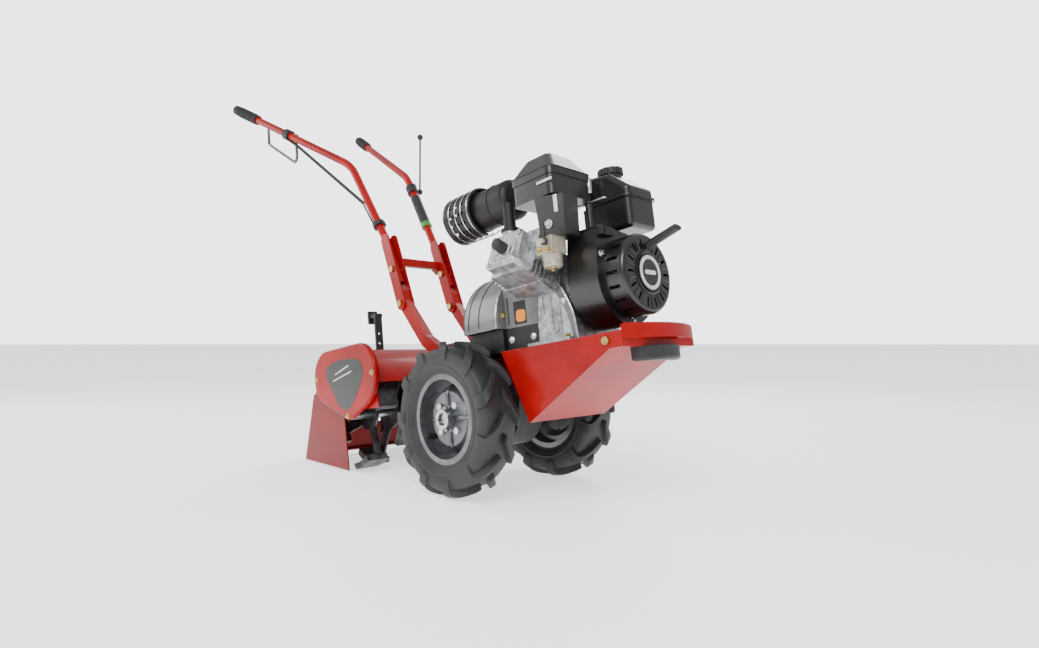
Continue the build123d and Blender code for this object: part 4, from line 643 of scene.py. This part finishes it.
class TILLER_OT_engine_trim(bpy.types.Operator):
    """Adds the engine's bolts, ribs, rings and fittings"""
    bl_idname = "tiller.engine_trim"
    bl_label = "Engine trim"

    def execute(self, context):
        bore = Vector((0, -math.cos(BORE_ANGLE), math.sin(BORE_ANGLE)))
        cross = Vector((0, math.sin(BORE_ANGLE), math.cos(BORE_ANGLE)))
        head = Vector((214, 0, CRANK_Z)) + bore * 186
        # Valve cover: four bolts, a raised panel and two cast ribs.
        bolts = bmesh.new()
        for dx in (-35, 35):
            for up in (-30, 30):
                add_bolt(bolts, head + Vector((dx, 0, 0)) + cross * up, bore, 10, 6)
        for y, z in ((-58, 296), (58, 296), (-70, 196), (70, 196)):
            add_bolt(bolts, (290, y * 0.8, CRANK_Z + (z - CRANK_Z) * 0.8), (1, 0, 0), 9, 5)
        for x in (170, 214, 258):
            add_bolt(bolts, (x, 72, 172), (0, 1, 0), 9, 5)
        finish_mesh("engine_bolts", bolts, "bright_zinc", "chassis", None, 30, 0.3)
        ribs = bmesh.new()
        add_plate(ribs, box_outline(56, 40, 8), head, bore, 3.0, 1.2, up=cross)
        for dx in (-14, 14):
            path = [head + Vector((dx, 0, 0)) + bore * 2.2 + cross * k for k in (-15, -5, 5, 15)]
            add_ring_faces(ribs, wire_rings(path, 2.0, 10))
        finish_mesh("engine_ribs", ribs, "die_cast_aluminium", "chassis", None, 40)
        # Recoil cover: a pale plain ring on the boss, two raised rings, radial ribs and screws.
        badge = bmesh.new()
        ring = [(26, 0), (33, 0), (33, 1.6), (32, 2.4), (27, 2.4), (26, 1.6)]
        turned = [[(426.2 + y, x, z + CRANK_Z) for x, y, z in row] for row in spun(ring, 64)]
        add_ring_faces(badge, turned, loop_rings=True, close_ends=False)
        add_plate(badge, box_outline(34, 8, 3), (427, 0, CRANK_Z), (1, 0, 0), 1.2)
        finish_mesh("starter_badge", badge, "vinyl_pale", "chassis", None, 40)
        shroud = bmesh.new()
        add_plate(shroud, round_outline(25.5, 48), (426.4, 0, CRANK_Z), (1, 0, 0), 0.7)
        ring = [(70, 0), (73.5, 0), (74, 1.2), (73, 2.2), (71, 2.2), (69.5, 1.2)]
        turned = [[(419.5 + y, x, z + CRANK_Z) for x, y, z in row] for row in spun(ring, 72)]
        add_ring_faces(shroud, turned, loop_rings=True, close_ends=False)
        ring = [(38, 0), (41, 0), (41.6, 1.8), (40, 2.6), (38, 2.0)]
        turned = [[(423 + y, x, z + CRANK_Z) for x, y, z in row] for row in spun(ring, 64)]
        add_ring_faces(shroud, turned, loop_rings=True, close_ends=False)
        for k in range(14):
            turn = 2 * math.pi * k / 14 + math.pi / 2
            path = [(423.4, r * math.cos(turn), CRANK_Z + r * math.sin(turn)) for r in (44, 52, 60, 68)]
            if abs(math.degrees(turn) - 90) > 5:
                add_ring_faces(shroud, wire_rings(path, 1.5, 8))
        finish_mesh("starter_ribs", shroud, "moulded_abs_black", "chassis", None, 40)
        screws = bmesh.new()
        for k in range(3):
            turn = math.radians(30 + 120 * k)
            add_bolt(screws, (374, 85 * math.cos(turn), CRANK_Z + 85 * math.sin(turn)), (1, 0, 0), 9, 5)
        add_bolt(screws, (300, -128, 350), (0, -1, 0), 11, 6)
        finish_mesh("shroud_screws", screws, "bright_zinc", "chassis", None, 30, 0.3)
        # Air cleaner: round knob, waist line and two pale strips.
        knob = bmesh.new()
        rings = stack_rings(round_outline(12, 32), ((-6, -1), (-1, 0), (0, 1.0)))
        place = facing((256, -60, 505), (0, 0, 1))
        add_ring_faces(knob, [[place @ Vector(p) for p in row] for row in rings])
        band = [(x + 262, y - 68, 464) for x, y in box_outline(116.4, 124.4, 15, 6)]
        add_ring_faces(knob, wire_rings(band + band[:1], 1.2, 8))
        finish_mesh("air_cleaner_trim", knob, "polyamide_black", "chassis", None, 40, 0.3)
        strip = bmesh.new()
        add_plate(strip, box_outline(9, 34, 2), (322, -128, 385), (0, -1, 0), 1.2)
        add_plate(strip, box_outline(40, 5, 1), (300, -130, 436), (0, -1, 0), 0.8)
        finish_mesh("air_cleaner_strip", strip, "vinyl_pale", "chassis")
        # The upright chrome capsule at the tank's rear corner.
        capsule = bmesh.new()
        profile = [(0.01, 0), (5, 0.6), (8, 3), (9, 7), (9, 30), (8, 34), (5, 36.6), (0.01, 37.2)]
        rings = []
        for k in range(28):
            turn = 2 * math.pi * k / 28
            along, across = math.cos(turn), 0.8 * math.sin(turn)
            rings.append([(312 + r * along, -10 + r * across, 424 + h) for r, h in profile])
        add_ring_faces(capsule, rings, close_rings=False, close_ends=False, loop_rings=True)
        finish_mesh("filter_capsule", capsule, "bright_zinc", "chassis", None, 60)
        # Carburetor: drain bolt, two side screws and a band round the bowl.
        brass = bmesh.new()
        add_bolt(brass, (300, -128, 264), (0, 0, -1), 9, 5)
        add_bolt(brass, (288, -148, 300), (0, -1, 0), 8, 5)
        add_bolt(brass, (312, -148, 296), (0, -1, 0), 7, 7)
        finish_mesh("carburetor_screws", brass, "yellow_zinc", "chassis", None, 30, 0.2)
        band = bmesh.new()
        turns = [math.radians(a) for a in range(0, 361, 10)]
        ring = [(300 + 19.3 * math.cos(a), -128 + 19.3 * math.sin(a), 287) for a in turns]
        add_ring_faces(band, wire_rings(ring, 1.6, 8))
        finish_mesh("carburetor_band", band, "carburetor_alloy", "chassis", None, 60)
        return {"FINISHED"}


class TILLER_OT_muffler_trim(bpy.types.Operator):
    """Adds the wire rings of the muffler guard and the muffler's seams"""
    bl_idname = "tiller.muffler_trim"
    bl_label = "Muffler trim"

    def execute(self, context):
        wires = bmesh.new()
        for x in (-16, 4, 26, 47, 68):
            path = []
            for k in range(41):
                turn = math.radians(-48 + 6.9 * k) if x > -14 else 2 * math.pi * k / 40
                across = MUFFLER_Y - GUARD_RADIUS * math.sin(turn)
                path.append((x, across, MUFFLER_Z + GUARD_RADIUS * math.cos(turn)))
            add_ring_faces(wires, wire_rings(path, 1.6, 8))
        finish_mesh("guard_wires", wires, "bright_zinc", "chassis", None, 60)
        seams = bmesh.new()
        for x in (64, 122):
            turns = [2 * math.pi * k / 48 for k in range(49)]
            path = [(x, MUFFLER_Y + 44 * math.cos(a), MUFFLER_Z + 44 * math.sin(a)) for a in turns]
            add_ring_faces(seams, wire_rings(path, 1.8, 8))
        finish_mesh("muffler_seams", seams, "heat_proof_black", "chassis", None, 60)
        return {"FINISHED"}


class TILLER_OT_handle_trim(bpy.types.Operator):
    """Adds the adjuster and grip ribs of the handle"""
    bl_idname = "tiller.handle_trim"
    bl_label = "Handle trim"

    def execute(self, context):
        low = Vector((-333, 81, 489))
        bend = Vector((-466, 96, 745))
        end = Vector((-950, 228, 1083))
        lower = (bend - low).normalized()
        upper = (end - bend).normalized()
        adjuster = bmesh.new()
        start = low + lower * 76
        add_ring_faces(adjuster, wire_rings([start, start + lower * 8, start + lower * 17], 15.5, 24))
        finish_mesh("cable_adjuster", adjuster, "vinyl_green", "handle", None, 40, 0.6)
        ribs = bmesh.new()
        for side in (1, -1):
            for k in range(9):
                middle = end - upper * (22 + k * 10)
                middle = Vector((middle.x, side * middle.y, middle.z))
                heading = Vector((upper.x, side * upper.y, upper.z))
                lift = heading.orthogonal().normalized()
                across = heading.cross(lift)
                turns = [2 * math.pi * i / 32 for i in range(33)]
                ring = [middle + (lift * math.cos(a) + across * math.sin(a)) * 15.8 for a in turns]
                add_ring_faces(ribs, wire_rings(ring, 1.5, 8))
        finish_mesh("grip_ribs", ribs, "grip_rubber", "handle", None, 60)
        return {"FINISHED"}


class TILLER_OT_deck_trim(bpy.types.Operator):
    """Adds the folded edges of the deck and the bumper"""
    bl_idname = "tiller.deck_trim"
    bl_label = "Deck trim"

    def execute(self, context):
        edges = bmesh.new()
        for side in (-1, 1):
            path = [(x, side * 116.6, 125.2) for x in range(123, 430, 18)]
            add_ring_faces(edges, wire_rings(path, 1.9, 10))
        path = [(430 + 28 * (1 - (y / DECK_HALF) ** 2) - 1.6, y, 137.0) for y in range(-112, 113, 8)]
        add_ring_faces(edges, wire_rings(path, 1.8, 10))
        finish_mesh("folded_edges", edges, "powder_coat_red", "chassis", None, 60)
        return {"FINISHED"}


class TILLER_OT_stage(bpy.types.Operator):
    """Sets the floor, the soft light and the camera"""
    bl_idname = "tiller.stage"
    bl_label = "Stage"

    def execute(self, context):
        stage = context.scene.tiller_stage
        half = stage.floor_size / 2
        mesh = bpy.data.meshes.new("floor")
        corners = [(-half, -half, 0), (half, -half, 0), (half, half, 0), (-half, half, 0)]
        mesh.from_pydata(corners, [], [(0, 1, 2, 3)])
        floor = bpy.data.objects.new("floor", mesh)
        context.scene.collection.objects.link(floor)
        material, _, shader = start_material("pale_floor", 0.0, 0.7)
        shader.inputs["Base Color"].default_value = linear("#fbfbfb")
        shader.inputs["Emission Color"].default_value = linear("#ffffff")
        shader.inputs["Emission Strength"].default_value = stage.floor_glow
        mesh.materials.append(material)
        world = bpy.data.worlds.new("soft studio")
        context.scene.world = world
        world.use_nodes = True
        sky = world.node_tree.nodes["Background"]
        sky.inputs["Color"].default_value = linear("#ffffff")
        # The backdrop looks brighter than the light that it gives.
        seen = add_node(world.node_tree, "ShaderNodeLightPath").outputs["Is Camera Ray"]
        brightness = add_node(world.node_tree, "ShaderNodeMapRange", links={"Value": seen},
                              values={"To Min": stage.sky, "To Max": stage.backdrop}).outputs["Result"]
        world.node_tree.links.new(brightness, sky.inputs["Strength"])
        for name, place, size, power in (("key", (1.9, -2.4, 2.8), 1.6, stage.key_power),
                                         ("fill", (-2.6, -1.8, 1.8), 2.0, stage.key_power * 0.4),
                                         ("rim", (-0.8, 2.6, 2.6), 1.6, stage.key_power * 0.5)):
            data = bpy.data.lights.new(name, "AREA")
            data.size = size
            data.energy = power
            lamp = bpy.data.objects.new(name, data)
            lamp.location = place
            aim = Vector((0.1, 0, 0.4)) - Vector(place)
            lamp.rotation_euler = aim.to_track_quat("-Z", "Y").to_euler()
            context.scene.collection.objects.link(lamp)
        camera_data = bpy.data.cameras.new("camera")
        camera_data.lens = 21.36
        camera_data.sensor_width = 36
        camera_data.sensor_fit = "HORIZONTAL"
        camera_data.dof.use_dof = False
        camera = bpy.data.objects.new("camera", camera_data)
        camera.location = (AXLE.x + 1.048, -0.9832, 0.3256)
        yaw, pitch = 0.799, -0.031
        level = math.cos(pitch)
        look = Vector((-math.sin(yaw) * level, math.cos(yaw) * level, -math.sin(pitch)))
        camera.rotation_euler = look.to_track_quat("-Z", "Y").to_euler()
        context.scene.collection.objects.link(camera)
        context.scene.camera = camera
        return {"FINISHED"}


OPERATORS = (
    TILLER_OT_finishes, TILLER_OT_tyres, TILLER_OT_wheel_trim, TILLER_OT_cover_trim,
    TILLER_OT_shroud_trim, TILLER_OT_hood_trim, TILLER_OT_engine_trim, TILLER_OT_muffler_trim,
    TILLER_OT_handle_trim, TILLER_OT_deck_trim, TILLER_OT_stage,
)


class TILLER_PT_panel(bpy.types.Panel):
    """The tiller's pieces and sizes"""
    bl_idname = "TILLER_PT_panel"
    bl_label = "Tiller"
    bl_space_type = "VIEW_3D"
    bl_region_type = "UI"
    bl_category = "Tiller"

    def draw(self, context):
        scene = context.scene
        self.layout.prop(scene.tiller_paint, "red")
        for name in ("lugs", "lug_width", "sweep"):
            self.layout.prop(scene.tiller_tyre, name)
        for name in ("cover_bead", "badge_depth"):
            self.layout.prop(scene.tiller_trim, name)
        for name in ("floor_size", "floor_glow", "sky", "backdrop", "key_power"):
            self.layout.prop(scene.tiller_stage, name)
        for operator in OPERATORS:
            self.layout.operator(operator.bl_idname)


GROUPS = {
    "tiller_paint": TillerPaint,
    "tiller_tyre": TillerTyre,
    "tiller_trim": TillerTrim,
    "tiller_stage": TillerStage,
}


def register():
    for group in GROUPS.values():
        bpy.utils.register_class(group)
    for name, group in GROUPS.items():
        setattr(bpy.types.Scene, name, bpy.props.PointerProperty(type=group))
    for operator in OPERATORS:
        bpy.utils.register_class(operator)
    bpy.utils.register_class(TILLER_PT_panel)


def unregister():
    bpy.utils.unregister_class(TILLER_PT_panel)
    for operator in reversed(OPERATORS):
        bpy.utils.unregister_class(operator)
    for name in GROUPS:
        delattr(bpy.types.Scene, name)
    for group in GROUPS.values():
        bpy.utils.unregister_class(group)


def main():
    """Builds everything in order."""
    register()
    bpy.ops.tiller.finishes()
    bpy.ops.tiller.tyres()
    bpy.ops.tiller.wheel_trim()
    bpy.ops.tiller.cover_trim()
    bpy.ops.tiller.shroud_trim()
    bpy.ops.tiller.hood_trim()
    bpy.ops.tiller.engine_trim()
    bpy.ops.tiller.muffler_trim()
    bpy.ops.tiller.handle_trim()
    bpy.ops.tiller.deck_trim()
    bpy.ops.tiller.stage()


if __name__ == "__main__":
    main()
